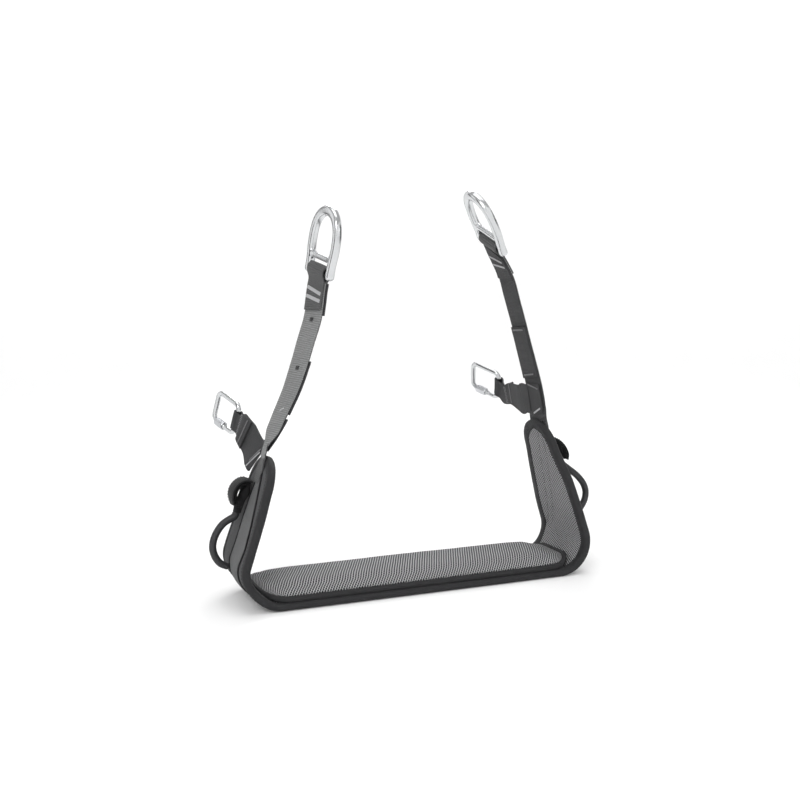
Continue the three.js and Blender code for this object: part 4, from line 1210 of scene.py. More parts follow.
    # rolled binding round the cushion
    p, nn, arc = rounded(reach - 1.0, CUSHION["y"] - 1.0, CUSHION["r"] - 1.0, 420)
    zc = 6.9
    prof = [(-5.4, zc + 0.2), (-2.5, zc - 0.3), (-0.2, zc), (1.1, zc + 1.4), (1.5, zc + 3.4), (1.2, zc + 5.4), (0.1, zc + 7.0), (-1.6, zc + 7.7), (-3.4, zc + 7.5), (-4.8, zc + 6.6), (-5.6, zc + 5.2), (-6.0, zc + 3.0)]
    rings = []
    for k in range(len(p)):
        pk = 0.18 * wob(arc[k] * 0.2, 2.2) + 0.12 * math.sin(arc[k] * 1.3)
        tilt = float(smooth((abs(p[k][0]) - 168) / 24))
        ring = []
        wide = 1 + 0.7 * float(smooth((abs(p[k][0]) - 190) / 18))
        for dd, z in prof:
            q = p[k] + nn[k] * ((dd * wide if dd < 0 else dd) + (0.4 * pk if z > zc + 2 else 0))
            zz = z + (0.5 * pk if z > zc + 4 else 0)
            zz = zz + 1.4 * tilt + float(lift(q[0]))
            ring.append((q[0], q[1], zz))
        rings.append(ring)
    b = loft("cushion_piping", rings, "trim", closed=True, u=arc, angle=60)
    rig.ride(b, "seat")
    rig.replaces(b, "cushion_binding")
    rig.slot(b, "trim")
    st = []
    for a in np.arange(0, arc[-1] - 3, 4.2):
        seg = []
        for e, up in ((0, -0.1), (1.0, 0.2), (2.0, 0.2), (2.9, -0.1)):
            k = (a + e) / arc[-1] * (len(p) - 1)
            k0 = int(k)
            pp = p[k0] + (p[(k0 + 1) % len(p)] - p[k0]) * (k - k0)
            tl = float(smooth((abs(pp[0]) - 168) / 24))
            q = pp + nn[k0] * -2.6
            seg.append((q[0], q[1], zc + 7.65 + 1.4 * tl + float(lift(q[0])) + up))
        st.append(np.array(seg))
    s2 = stitches("cushion_stitches", st, 0.32, "black_thread")
    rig.ride(s2, "seat")
    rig.slot(s2, "trim")


build_cushion()


# ------------------------------------------------------------------ straps
def strap(name, P, W, N, H, thick, material, cols=13, cup=0.0, angle=50.0, edge=0.55, tones=None, materials=()):
    """A flat strap: centres, width directions, face directions and half widths, with rolled selvedges.
    tones gives the material number of face (i, side), where side is 0 on the +N face, 1 on the -N face and 2 on the edges."""
    P, W, N = np.asarray(P, float), np.asarray(W, float), np.asarray(N, float)
    H = np.full(len(P), float(H)) if np.isscalar(H) else np.asarray(H, float)
    e = np.sin(np.linspace(-math.pi / 2, math.pi / 2, cols))
    half = thick / 2
    rings = []
    arc = np.concatenate([[0], np.cumsum(np.linalg.norm(np.diff(P, axis=0), axis=1))])
    for i in range(len(P)):
        body = half * (1 + 0.10 * np.exp(-((1 - np.abs(e)) / 0.09) ** 2))
        taper = np.sqrt(np.clip(1 - np.clip((np.abs(e) - (1 - edge * half / H[i] * 1.2)) / (edge * half / H[i] * 1.2), 0, 1) ** 2, 0, 1))
        tz = body * np.maximum(taper, 0.12)
        bend = cup * (e ** 2 - 0.33)
        ripple = 0.05 * wob(arc[i] * 0.3 + e * 2.0, 1.0)
        a = [P[i] + W[i] * H[i] * x + N[i] * (t + b + rp) for x, t, b, rp in zip(e, tz, bend, ripple)]
        c = [P[i] + W[i] * H[i] * x + N[i] * (-t + b + rp) for x, t, b, rp in zip(e[::-1], tz[::-1], bend[::-1], ripple[::-1])]
        rings.append(a + c)
    w = 2 * H.mean()
    v = np.concatenate([(e + 1) / 2 * w, w + 2 + (e + 1) / 2 * w, [2 * w + 4]])
    o = loft(name, rings, material, u=arc, v=v, angle=angle)
    if tones is not None:
        for extra in materials:
            o.data.materials.append(M[extra])
        n = 2 * cols
        kind = [0] * (cols - 1) + [2] + [1] * (cols - 1) + [2]
        idx = [tones(i, kind[j]) for i in range(len(P) - 1) for j in range(n)]
        idx += [tones(0, 2), tones(len(P) - 2, 2)]
        if len(idx) == len(o.data.polygons):
            o.data.polygons.foreach_set("material_index", idx)
            o.data.update()
    return o


def frames(P, W0, out):
    """Orthonormal width and face directions along a path, from wanted width directions."""
    P = np.asarray(P, float)
    T = np.gradient(P, axis=0)
    T /= np.linalg.norm(T, axis=1)[:, None]
    W = np.asarray(W0, float)
    W = W - T * np.einsum("ij,ij->i", W, T)[:, None]
    W /= np.linalg.norm(W, axis=1)[:, None]
    N = np.cross(T, W)
    if out is not None:
        flip = np.sign(np.einsum("ij,ij->i", N, np.broadcast_to(out, N.shape)))
        N *= np.where(flip == 0, 1, flip)[:, None]
    return T, W, N


def zigzag(centre, across, along, normal, width, depth, pitch, r, lift):
    """Path of a bartack: thread going to and fro along the strap while it steps across it."""
    n = max(4, int(width / pitch))
    pts = []
    for i in range(n + 1):
        x = -width / 2 + width * i / n
        for k in (-1, 1) if i % 2 == 0 else (1, -1):
            pts.append(centre + across * (x + (0.12 * pitch if k > 0 else -0.12 * pitch)) + along * (k * depth / 2) + normal * lift)
    out = []
    for a, b in zip(pts[:-1], pts[1:]):
        out += [a, a + (b - a) * 0.5 + normal * (r * 0.5)]
    out.append(pts[-1])
    return np.array(out)


def bartack(name, centre, across, along, normal, width, depth, material="light_thread", pitch=0.95, r=0.42, lift=0.25):
    return tube(name, zigzag(np.asarray(centre, float), across, along, normal, width, depth, pitch, r, lift), r, material, 6)


FOOT = {}


def build_riser(name):
    side, rt = SIDES[name], ROUTES[name]
    out = np.array([side["dir"], 0, 0])
    bar, w = np.array(rt["bar"], float), unit(rt["w"])
    R = [np.array(p, float) for p in rt["riser"]]
    dd = R[-1] - bar
    dd = unit(dd - w * (dd @ w))
    pts = R[:-1] + [bar + dd * 22, bar + dd * 8]
    D, TT, L = catmull(pts, 900)
    low = L + 8
    wm, wl = unit(rt["wMid"]), unit(rt["wLow"])

    def at(a):
        """Frame at distance a below the top of the centre curve; a past the foot runs on straight."""
        u = 1 - (a - 8) / L
        k = min(max(u, 0), 1) * (len(D) - 1)
        k0 = min(int(k), len(D) - 2)
        p = D[k0] + (D[k0 + 1] - D[k0]) * (k - k0)
        t = TT[min(int(round(k)), len(TT) - 1)]
        if u < 0:
            p = p + t * (u * L)
        kk = min(max(1 - u, 0), 1)
        ww = w + (wm - w) * (max(0.0, kk - 0.14) / 0.41) if kk < 0.55 else wm + (wl - wm) * ((kk - 0.55) / 0.45)
        ww = unit(ww - t * (ww @ t))
        n = unit(np.cross(t, ww))
        if n @ out < 0:
            n = -n
        return p, ww, n, t

    hw, off = WEB_W / 2, WEB_T / 2 + GAP / 2 + 0.05
    main, back = [], []
    # tail: the strap runs on down the wing's outer face, under the binding at the tip
    S = side["arc"]
    turned = 1.0 if name == "left" else 0.0
    lower = []
    for s in np.linspace(S - 34, S - 3, 8):
        mid, half = seam_y(side, s)
        lower.append((band3(side, s, 0.6 * mid, -1.1), unit(np.array([-0.16 * turned * smooth((s - S + 18) / 15), -1.0, 0]))))
    path, wid, hh = [], [], []
    turn_at = [0, 0]
    for k, (p, ww) in enumerate(lower):
        path.append(p)
        wid.append(ww)
        hh.append(11.0 + (9.0 - 4.5 * turned) * smooth(k / 7.0))
    for a in np.linspace(low - 6, 15, 64):
        p, ww, n, t = at(a)
        twist = turned * float(smooth((a - low + 30) / 24))
        path.append(p - n * off)
        wid.append(unit(ww - 0.21 * twist * out * side["dir"]))
        hh.append(20.5 - 4.0 * twist + 1.5 * float(smooth((low - 6 - a) / 14)))
    nb = np.cross(dd, w)
    nb = unit(nb if nb @ out > 0 else -nb)
    Rr = 6.4

    def around(a, b):
        path.append(bar + dd * a + nb * b)
        wid.append(w)
        hh.append(hw - 0.6)
    turn_at[0] = len(path)
    around(11.5, -2.2), around(7.5, -4.3), around(3.6, -5.9)
    for i in range(9):
        a = math.pi * i / 8
        around(-Rr * math.sin(a), -Rr * math.cos(a))
    around(3.6, 5.9), around(7.5, 4.3), around(11.5, 2.2)
    end = 50.0
    for a in np.linspace(16, end, 10):
        p, ww, n, t = at(a)
        path.append(p + n * off)
        wid.append(ww)
        hh.append(hw - 1.0)
    P, _, ln = catmull(path, 230)
    cum = np.concatenate([[0], np.cumsum(np.linalg.norm(np.diff(np.array(path), axis=0), axis=1))])
    q = np.linspace(0, cum[-1], 230)
    W0 = np.stack([np.interp(q, cum, np.array(wid)[:, k]) for k in range(3)], 1)
    H = np.interp(q, cum, np.array(hh))
    T, W, _ = frames(P, W0, None)
    N = np.cross(T, W)
    if N[60] @ out < 0:
        N = -N
    # painted shade: the outer face takes the lit riser webbing, the inner face and the edges take the dark webbing,
    # and the tail, the bight and the return layer take a darker copy of the riser webbing
    k_foot = int(cum[7] / cum[-1] * 229)
    k_turn = int(cum[turn_at[0]] / cum[-1] * 229)
    strap_o = strap(f"riser_webbing_{name}", P, W, N, H, WEB_T, "riser", cup=0.25, materials=("dark", "bight"), tones=lambda i, side_: 2 if i >= k_turn or i < k_foot else (0 if side_ == 0 else 1))
    foot, fw, fn, ft = at(low - 4)
    foot0 = at(low)[0]
    s_pt, e_pt = foot0 - ft * 9, foot0 + ft * 13
    FOOT[name] = dict(at=at, low=low, off=off, hw=hw, s=s_pt, e=e_pt)
    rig.blend(strap_o, f"wing_{name}", f"riser_{name}", start=tuple(s_pt * MM), end=tuple(e_pt * MM))
    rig.replaces(strap_o, f"riser_strap_{name}")
    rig.slot(strap_o, "webbing")

    def layer(a0, a1, o, h, n=36, nm="", mat="riser", cup=0.25, taper=None, shift=0.0):
        A = np.linspace(a0, a1, n)
        F = [at(a) for a in A]
        P = np.array([f[0] + f[2] * o + f[1] * shift for f in F])
        hh = np.full(n, h)
        if taper is not None:
            hh = hh * taper(np.linspace(0, 1, n))
        return strap(nm, P, [f[1] for f in F], [f[2] for f in F], hh, WEB_T * 0.95, mat, cup=cup)

    inner = -off - WEB_T - 0.35
    dbl = layer(low - 52, low - 122, inner, hw - 0.2, nm=f"riser_second_layer_{name}", mat="dark", shift=1.0)
    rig.ride(dbl, f"riser_{name}")
    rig.replaces(dbl, f"riser_doubler_{name}")
    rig.slot(dbl, "webbing")

    back = layer(12, 56, inner + 0.2, hw - 0.1, nm=f"riser_inner_layer_{name}", mat="dark", shift=1.2)
    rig.ride(back, f"riser_{name}")
    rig.slot(back, "dark_webbing")
    # bartacks under the ring, on the outer face and on the inner layer
    tk = []
    for a in (26.0, 36.0):
        p, ww, n, t = at(a)
        sk, up_ = unit(ww - 0.22 * t), unit(t + 0.22 * ww)
        tk.append(bartack("t", p + n * (off + WEB_T / 2), sk, up_, n, 36, 3.8, pitch=1.0))
        tk.append(bartack("t", p + n * (inner + 0.2 - WEB_T / 2) + ww * 1.2, sk, up_, -n, 34, 1.9, pitch=1.0))
    j = join(f"riser_bartacks_{name}", tk)
    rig.ride(j, f"riser_{name}")
    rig.slot(j, "webbing")
    # dark tacks through the middle of the strap, and the short light one near its foot
    tk = []
    for a in (62.0, 124.0):
        p, ww, n, t = at(a)
        tk.append(bartack("t", p - n * off + n * WEB_T / 2, t, ww, n, 4.5, 7.0, material="black_thread", pitch=0.9, r=0.38))
    p, ww, n, t = at(low - 56)
    tk.append(bartack("t", p - n * off + n * WEB_T / 2 + ww * 2, unit(ww + 0.5 * t), unit(t - 0.5 * ww), n, 9, 1.8, material="light_thread", pitch=1.0, r=0.34))
    p, ww, n, t = at(low - 56)
    tk.append(bartack("t", p + n * (inner - WEB_T / 2), ww, t, -n, 26, 1.8, material="mid_thread", pitch=1.1, r=0.34))
    p, ww, n, t = at(low - 118)
    tk.append(bartack("t", p + n * (inner - WEB_T / 2), ww, t, -n, 30, 1.8, material="mid_thread", pitch=1.1, r=0.34))
    j = join(f"riser_tacks_{name}", tk)
    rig.ride(j, f"riser_{name}")
    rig.slot(j, "webbing")


def build_link_strap(name):
    side, rt, F = SIDES[name], ROUTES[name], FOOT[name]
    out = np.array([side["dir"], 0, 0])
    at, low, off, hw = F["at"], F["low"], F["off"], F["hw"]
    p, ww, n, t = at(low - 24)
    J = p - ww * (hw + 5.6) - n * off
    rod, down = np.array(rt["rod"], float), unit(rt["down"])
    u = np.array(rt["u"], float)
    u = unit(u - down * (u @ down))
    direction = unit(rod - J)
    wend = -down
    dirE = unit(direction - wend * (direction @ wend))
    nl = np.cross(dirE, wend)
    nl = unit(nl if nl @ out > 0 else -nl)
    wstart = t
    q0 = rod - dirE * 14
    mids = [J, J + np.array([0, 18, 2.0]), J + (q0 - J) * 0.6, q0 - dirE * 10, q0]
    C, CT, CL = catmull(mids, 400)

    def lf(k):
        i = min(max(k, 0), 1) * 399
        i0 = min(int(i), 398)
        pp = C[i0] + (C[i0 + 1] - C[i0]) * (i - i0)
        tt = CT[min(int(round(i)), 399)]
        e = k * k * (3 - 2 * k)
        w1 = wstart + (wend - wstart) * e
        w1 = unit(w1 - tt * (w1 @ tt))
        n1 = unit(np.cross(tt, w1))
        if n1 @ out < 0:
            n1 = -n1
        h = 20.6 + (LINK_STRAP_END_W / 2 - 20.6) * min(1, max(0, (k - 0.12) / 0.72))
        return pp, w1, n1, h, tt

    # the left strap hangs: its two edges run from a slanted fold behind the riser's foot up to the link
    edge_k = [0.0, 0.16, 0.43, 0.77, 1.0]
    edge_lo = np.array([(-202.2, 44, 158.6), (-202.6, 55, 161.5), (-198.7, 78, 170.7), (-201.3, 112, 188.9), (-204.7, 138, 198.0)])
    edge_up = np.array([(-182.5, 19, 184.5), (-182.3, 36, 194.4), (-184.8, 70, 210.2), (-190.2, 110, 222.9), (-195.6, 138, 223.3)])
    base_frame = lf

    def hanging(k):
        pp, w1, n1, h, tt = base_frame(k)
        e = float(smooth((k - 0.62) / 0.34))
        lo = np.array([np.interp(k, edge_k, edge_lo[:, j]) for j in range(3)])
        up = np.array([np.interp(k, edge_k, edge_up[:, j]) for j in range(3)])
        lo2 = np.array([np.interp(k + 0.05, edge_k, edge_lo[:, j]) for j in range(3)])
        up2 = np.array([np.interp(k + 0.05, edge_k, edge_up[:, j]) for j in range(3)])
        pv = (lo + up) / 2 * (1 - e) + pp * e
        wv = unit(unit(up - lo) * (1 - e) + w1 * e)
        tv = unit((lo2 + up2 - lo - up) * (1 - e) + tt * e * 3) if k < 0.94 else tt
        wv = unit(wv - tv * (wv @ tv))
        nv = unit(np.cross(tv, wv))
        if nv @ out < 0:
            nv = -nv
        return pv, wv, nv, np.linalg.norm(up - lo) / 2 * (1 - e) + h * e, tv
    hangs = name == "left"
    if hangs:
        lf = hanging
    path, wid, hh = [], [], []
    # lap on the riser's inner face
    deep = off + WEB_T + 0.5
    root, w_root = (edge_lo[0] + edge_up[0]) / 2, unit(edge_up[0] - edge_lo[0])
    away = -lf(0.0)[4]
    if hangs:
        # a hem: the end is turned in behind the strap
        pv, wv, nv, h, tv = lf(0.0)
        for x, y in ((17, 2.5), (11, 2.6), (5, 2.7), (1.2, 2.5), (-0.5, 1.25)):
            path.append(pv + tv * x - nv * y)
            wid.append(wv)
            hh.append(h - 0.2)
    for x in () if hangs else np.linspace(hw - 3.5, -hw + 1.5, 11):
        q, w2, n2, t2 = at(low - 22)
        path.append(q + w2 * x - n2 * deep)
        wid.append(t2)
        hh.append(20.3)
    for i in range(1, 26):
        k = i / 25
        pp, w1, n1, h, _ = lf(k)
        e = min(1, i / 8)
        if hangs:
            path.append(pp - n1 * off * e)
            wid.append(w1)
            hh.append(h)
            continue
        droop = 6.0 * float(smooth(k / 0.12) * (1 - smooth((k - 0.12) / 0.6)))
        path.append(pp - n1 * ((deep - off) * (1 - e) + off * e) - t * droop)
        wid.append(unit(w1))
        hh.append(h)
    RL = LINK["rod"] + 0.5 + WEB_T / 2

    def wrap(a, b):
        path.append(rod + dirE * a + nl * b)
        wid.append(wend)
        hh.append(LINK_STRAP_END_W / 2 - 0.3)
    wrap(-9.5, -2.3), wrap(-5.5, -4.2)
    for i in range(9):
        a = math.pi * i / 8
        wrap(RL * math.sin(a), -RL * math.cos(a))
    wrap(-5.5, 4.2), wrap(-9.5, 2.3)
    for k in np.linspace(0.98, 0.5, 10):
        pp, w1, n1, h, _ = lf(k)
        path.append(pp + n1 * off)
        wid.append(w1)
        hh.append(h - 0.5)
    path = np.array(path)
    P, _, ln = catmull(path, 220)
    cum = np.concatenate([[0], np.cumsum(np.linalg.norm(np.diff(path, axis=0), axis=1))])
    q = np.linspace(0, cum[-1], 220)
    W0 = np.stack([np.interp(q, cum, np.array(wid)[:, k]) for k in range(3)], 1)
    H = np.interp(q, cum, np.array(hh))
    T, W, _ = frames(P, W0, None)
    N = np.cross(T, W)
    if N[10] @ out < 0:
        N = -N
    o = strap(f"link_webbing_{name}", P, W, N, H, WEB_T * 0.95, "dark", cup=-0.3)
    jd = unit(base_frame(0.12)[0] - J)
    hinge = J + np.array([0, -2.6, 0])
    # the left strap's fold stays with the riser's foot and bends above it
    z_a, z_b = (4, 28) if hangs else (-5, 9)
    zone = dict(start=tuple((hinge + jd * z_a) * MM), end=tuple((hinge + jd * z_b) * MM))
    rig.blend(o, f"riser_{name}", f"link_strap_{name}", **zone)
    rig.replaces(o, f"link_strap_{name}", *([] if hangs else [f"link_lap_{name}"]))
    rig.slot(o, "dark_webbing")

    # stitching on the laps and on the strap's own bight
    tk = []
    if hangs:
        A = np.linspace(low - 46, low - 2, 20)
        Fr = [at(a) for a in A]
        lap = strap(f"link_lap_webbing_{name}", np.array([f[0] - f[2] * (deep - 0.1) + f[1] * (2.2 - 9.5 * g ** 1.6) for f, g in zip(Fr, np.linspace(0, 1, 20))]), [f[1] for f in Fr], [f[2] for f in Fr], 21.2 - 7.0 * np.linspace(0, 1, 20) ** 1.6, WEB_T * 0.95, "dark", cup=0.25)
        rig.ride(lap, f"riser_{name}")
        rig.replaces(lap, f"link_lap_{name}")
        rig.slot(lap, "dark_webbing")
        n_root = unit(np.cross(away, w_root))
        n_root = n_root if n_root @ out > 0 else -n_root
        for sg in (1, -1):
            tk.append(bartack("t", root - away * 1.5 - w_root * 4.5 + n_root * sg * WEB_T / 2, w_root, away, n_root * sg, 29, 1.3, material="light_thread" if sg > 0 else "mid_thread", pitch=1.0, r=0.4))
            tk.append(bartack("t", root - away * 5.0 + w_root * 3 + n_root * sg * WEB_T / 2, w_root, away, n_root * sg, 26, 1.6, material="mid_thread", pitch=1.1, r=0.36))
        tk.append(bartack("t", root - away * 6.5 + w_root * 16.5 + n_root * WEB_T / 2, unit(w_root + 0.5 * away), unit(away - 0.5 * w_root), n_root, 8, 3.2, material="black_thread", pitch=1.0, r=0.45))
        j = join(f"lap_stitches_{name}", tk)
        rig.blend(j, f"riser_{name}", f"link_strap_{name}", **zone)
    else:
        qq, w2, n2, t2 = at(low - 22)
        face = deep + WEB_T / 2
        tk.append(bartack("t", qq + w2 * 2 + t2 * 17.0 - n2 * face, unit(w2 - 0.25 * t2), unit(t2 + 0.25 * w2), -n2, 26, 1.5, material="mid_thread", pitch=1.1, r=0.36))
        tk.append(bartack("t", qq + w2 * 4 - t2 * 16.0 - n2 * face, unit(w2 + 0.35 * t2), unit(t2 - 0.35 * w2), -n2, 20, 1.8, material="light_thread", pitch=1.0, r=0.38))
        tk.append(bartack("t", qq - w2 * 13 - n2 * face, t2, w2, -n2, 33, 1.2, material="black_thread", pitch=1.2, r=0.38))
        tk.append(bartack("t", qq - w2 * 6 - t2 * 16 + n2 * (off + WEB_T / 2), unit(w2 - 0.2 * t2), unit(t2 + 0.2 * w2), n2, 18, 1.2, material="light_thread", pitch=1.0, r=0.34))
        j = join(f"lap_stitches_{name}", tk)
        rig.ride(j, f"riser_{name}")
    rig.slot(j, "dark_webbing")
    tk = []
    for k, dep, mat in ((0.77, 5.4, "mid_thread"), (0.58, 1.2, "mid_thread")):
        pp, w1, n1, h, tt = lf(k)
        tk.append(bartack("t", pp + n1 * (off + WEB_T / 2), w1, tt, n1, 2 * h - 6, dep, material=mat, pitch=2.3 if dep > 3 else 1.1, r=0.42))
        tk.append(bartack("t", pp - n1 * (off + WEB_T / 2), w1, tt, -n1, 2 * h - 6, dep, material=mat, pitch=2.3 if dep > 3 else 1.1, r=0.42))
    j = join(f"link_bartacks_{name}", tk)
    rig.ride(j, f"link_strap_{name}")
    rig.slot(j, "dark_webbing")


# ------------------------------------------------------------------ forged ring
def build_ring(name):
    rt = ROUTES[name]
    w = unit(rt["w"])
    up = np.array(rt["up"], float)
    up = unit(up - w * (up @ w))
    nz = np.cross(w, up)
    bar = np.array(rt["bar"], float)
    put = lambda P: np.array([bar + w * a + up * b + nz * c for a, b, c in P])
    rr = RING["rod"]
    # the loop's centreline: from one nub up the rail, over the top and down the other rail
    F = RING["foot"] - 0.4
    C = [(-28.0, -3.6), (-28.0, 2), (-28.4, 9), (-29.4, 16), (-30.8, 25), (-31.2, 35), (-30.2, 46), (-26.8, 56.5), (-20.2, 65.2), (-10.8, 70.8), (0, 72.6)]
    C = C + [(-x, y) for x, y in C[-2::-1]]
    P, _, ln = catmull([(a, b, 0) for a, b in C], 220)
    # section: wider across the face than deep, flatter faces, swelling at the crown and at the nubs
    n = len(P)
    T = np.gradient(P, axis=0)
    T /= np.linalg.norm(T, axis=1)[:, None]
    side = np.stack([-T[:, 1], T[:, 0], 0 * T[:, 0]], 1)
    s = np.linspace(0, 1, n)
    crown = np.exp(-((s - 0.5) / 0.16) ** 2)
    nub = np.exp(-(s / 0.035) ** 2) + np.exp(-((1 - s) / 0.035) ** 2)
    half_w = 5.3 + 0.9 * crown + 0.1 * nub
    half_d = 5.1 + 0.3 * crown + 0.3 * nub
    rings = []
    m = 28
    items = [(i, 1.0, 0.0) for i in range(n)]
    items = [(0, math.cos(q), -math.sin(q)) for q in (1.5, 1.25, 0.95, 0.62, 0.3)] + items + [(n - 1, math.cos(q), math.sin(q)) for q in (0.3, 0.62, 0.95, 1.25, 1.5)]
    for i, k, push in items:
        ring = []
        for j in range(m):
            a = 2 * math.pi * j / m
            ca, sa = math.cos(a), math.sin(a)
            e = 0.66
            x = math.copysign(abs(ca) ** e, ca) * half_w[i] * k
            z = math.copysign(abs(sa) ** e, sa) * half_d[i] * k
            ring.append(P[i] + T[i] * push * half_w[i] * 0.95 + side[i] * x + np.array([0, 0, z]))
        rings.append(ring)
    loop = loft(f"ring_loop_{name}", [put(r) for r in rings], "ring", angle=180)
    # crossbar: a flat waisted bar with filleted ends
    rings = []
    for x in np.linspace(-27.4, 27.4, 61):
        t = abs(x) / 27.4
        hh = 3.9 + 2.8 * max(0, (t - 0.70) / 0.30) ** 1.8
        dd = 3.6 + 0.6 * t ** 4
        y = RING["cross"] + 0.2
        ring = []
        for j in range(24):
            a = 2 * math.pi * j / 24
            ca, sa = math.cos(a), math.sin(a)
            ring.append((x, y + math.copysign(abs(ca) ** 0.72, ca) * hh, math.copysign(abs(sa) ** 0.72, sa) * dd))
        rings.append(ring)
    cross = loft(f"ring_crossbar_{name}", [put(r) for r in rings], "ring", angle=180)
    # lower bar, inside the webbing's bight
    rings = []
    for x in np.linspace(-27.5, 27.5, 31):
        t = abs(x) / 27.5
        r0 = 3.9 + 0.9 * max(0, (t - 0.8) / 0.2) ** 2
        rings.append([(x, -0.4 + r0 * math.cos(2 * math.pi * j / 18), r0 * math.sin(2 * math.pi * j / 18)) for j in range(18)])
    lower = loft(f"ring_bar_{name}", [put(r) for r in rings], "ring", angle=180)
    o = union(f"forged_ring_{name}", [loop, cross, lower], 0.0009)
    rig.ride(o, f"ring_{name}")
    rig.replaces(o, f"ring_{name}")
    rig.slot(o, "ring")


def union(name, objs, voxel):
    """Welds overlapping pieces into one skin with soft fillets where they meet."""
    o = join(name, objs)
    bpy.context.view_layer.objects.active = o
    mod = o.modifiers.new("weld", "REMESH")
    mod.mode = "VOXEL"
    mod.voxel_size = voxel
    mod.use_smooth_shade = True
    bpy.ops.object.modifier_apply(modifier="weld")
    sm = o.modifiers.new("soften", "SMOOTH")
    sm.factor = 0.5
    sm.iterations = 7
    bpy.ops.object.modifier_apply(modifier="soften")
    o.data.polygons.foreach_set("use_smooth", [True] * len(o.data.polygons))
    if len(o.data.materials) > 1:
        while len(o.data.materials) > 1:
            o.data.materials.pop()
    o.data.polygons.foreach_set("material_index", [0] * len(o.data.polygons))
    o.data.update()
    return o


# ------------------------------------------------------------------ screw link
def build_link(name):
    rt = ROUTES[name]
    down = unit(rt["down"])
    u = np.array(rt["u"], float)
    u = unit(u - down * (u @ down))
    rod = np.array(rt["rod"], float)
    nz = np.cross(u, down)
    at = lambda a, b: rod + u * a + down * b
    l, c, rl = LINK["l"], 8.2, LINK["rod"]
    H, gap_at = LINK["h"] / 2, 17.0
    path = [at(l - gap_at - 1.2, H), at((l - gap_at + c) / 2, H)]

    def arc(cu, cv, a0, a1, k=9):
        for i in range(k):
            a = math.radians(a0 + (a1 - a0) * i / (k - 1))
            path.append(at(cu + c * math.cos(a), cv + c * math.sin(a)))
    arc(c, H - c, 90, 180), path.extend([at(0, 4), at(0, -4)])
    arc(c, -H + c, 180, 270), path.append(at(l * 0.5, -H))
    arc(l - c, -H + c, 270, 360), path.append(at(l, 0))
    arc(l - c, H - c, 0, 90), path.append(at(l - gap_at + 1.2, H))
    P, T, ln = catmull(path, 900)
    # thread on both ends of the rod, partly hidden by the sleeve
    arc_len = np.linspace(0, ln, len(P))
    r = np.full(len(P), rl)
    pitch = 1.25
    for side_pos in (arc_len, ln - arc_len):
        on = smooth((15.5 - side_pos) / 1.0)
        tooth = np.abs(((side_pos / pitch) % 1.0) - 0.5) * 2
        r = r - on * (0.15 + 0.5 * (1 - tooth))
    o = tube(f"link_rod_{name}", P, r, "steel", 20)
    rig.ride(o, f"quick_link_{name}")
    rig.replaces(o, f"quick_link_{name}")
    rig.slot(o, "steel")
    # sleeve nut: a long hexagon with turned, chamfered ends
    R, nut = LINK["nutR"], LINK["nut"]
    centre = at(l - gap_at, H)
    levels = [(-nut / 2, 4.1, 4.6), (-nut / 2, 4.1, 4.6), (-nut / 2 + 0.25, 4.1, 5.1), (-nut / 2 + 0.9, 4.1, 5.5), (-nut / 2 + 2.4, 4.1, 6.7), (nut / 2 - 2.4, 4.1, 6.7), (nut / 2 - 0.9, 4.1, 5.5), (nut / 2 - 0.25, 4.1, 5.1), (nut / 2, 4.1, 4.6)]
    k = 48
    rings = []

    def section(z, cap):
        ring = []
        for j in range(k):
            a = 2 * math.pi * j / k
            hexr = R * math.cos(math.pi / 6) / math.cos(((a) % (math.pi / 3)) - math.pi / 6)
            rad = min(hexr * 0.995, cap)
            ring.append(centre + u * z + down * rad * math.cos(a) + nz * rad * math.sin(a))
        return ring

    def bore(z, rad):
        return [centre + u * z + down * rad * math.cos(2 * math.pi * j / k) + nz * rad * math.sin(2 * math.pi * j / k) for j in range(k)]
    zs = [(-nut / 2, 4.7), (-nut / 2 + 0.3, 5.2), (-nut / 2 + 1.0, 5.6), (-nut / 2 + 1.9, 6.1), (-nut / 2 + 2.8, 6.6), (-nut / 4, 6.6), (0, 6.6), (nut / 4, 6.6), (nut / 2 - 2.8, 6.6), (nut / 2 - 1.9, 6.1), (nut / 2 - 1.0, 5.6), (nut / 2 - 0.3, 5.2), (nut / 2, 4.7)]
    for z, cap in zs:
        rings.append(section(z, cap))
    rings.append(bore(nut / 2 - 0.1, 4.1))
    rings.append(bore(nut / 2 - 0.6, 3.85))
    rings.append(bore(0, 3.85))
    rings.append(bore(-nut / 2 + 0.6, 3.85))
    rings.append(bore(-nut / 2 + 0.1, 4.1))
    nutm = loft(f"sleeve_nut_{name}", rings, "nut", closed=True, angle=24)
    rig.ride(nutm, f"link_nut_{name}")
    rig.replaces(nutm, f"link_nut_{name}")
    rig.slot(nutm, "steel")


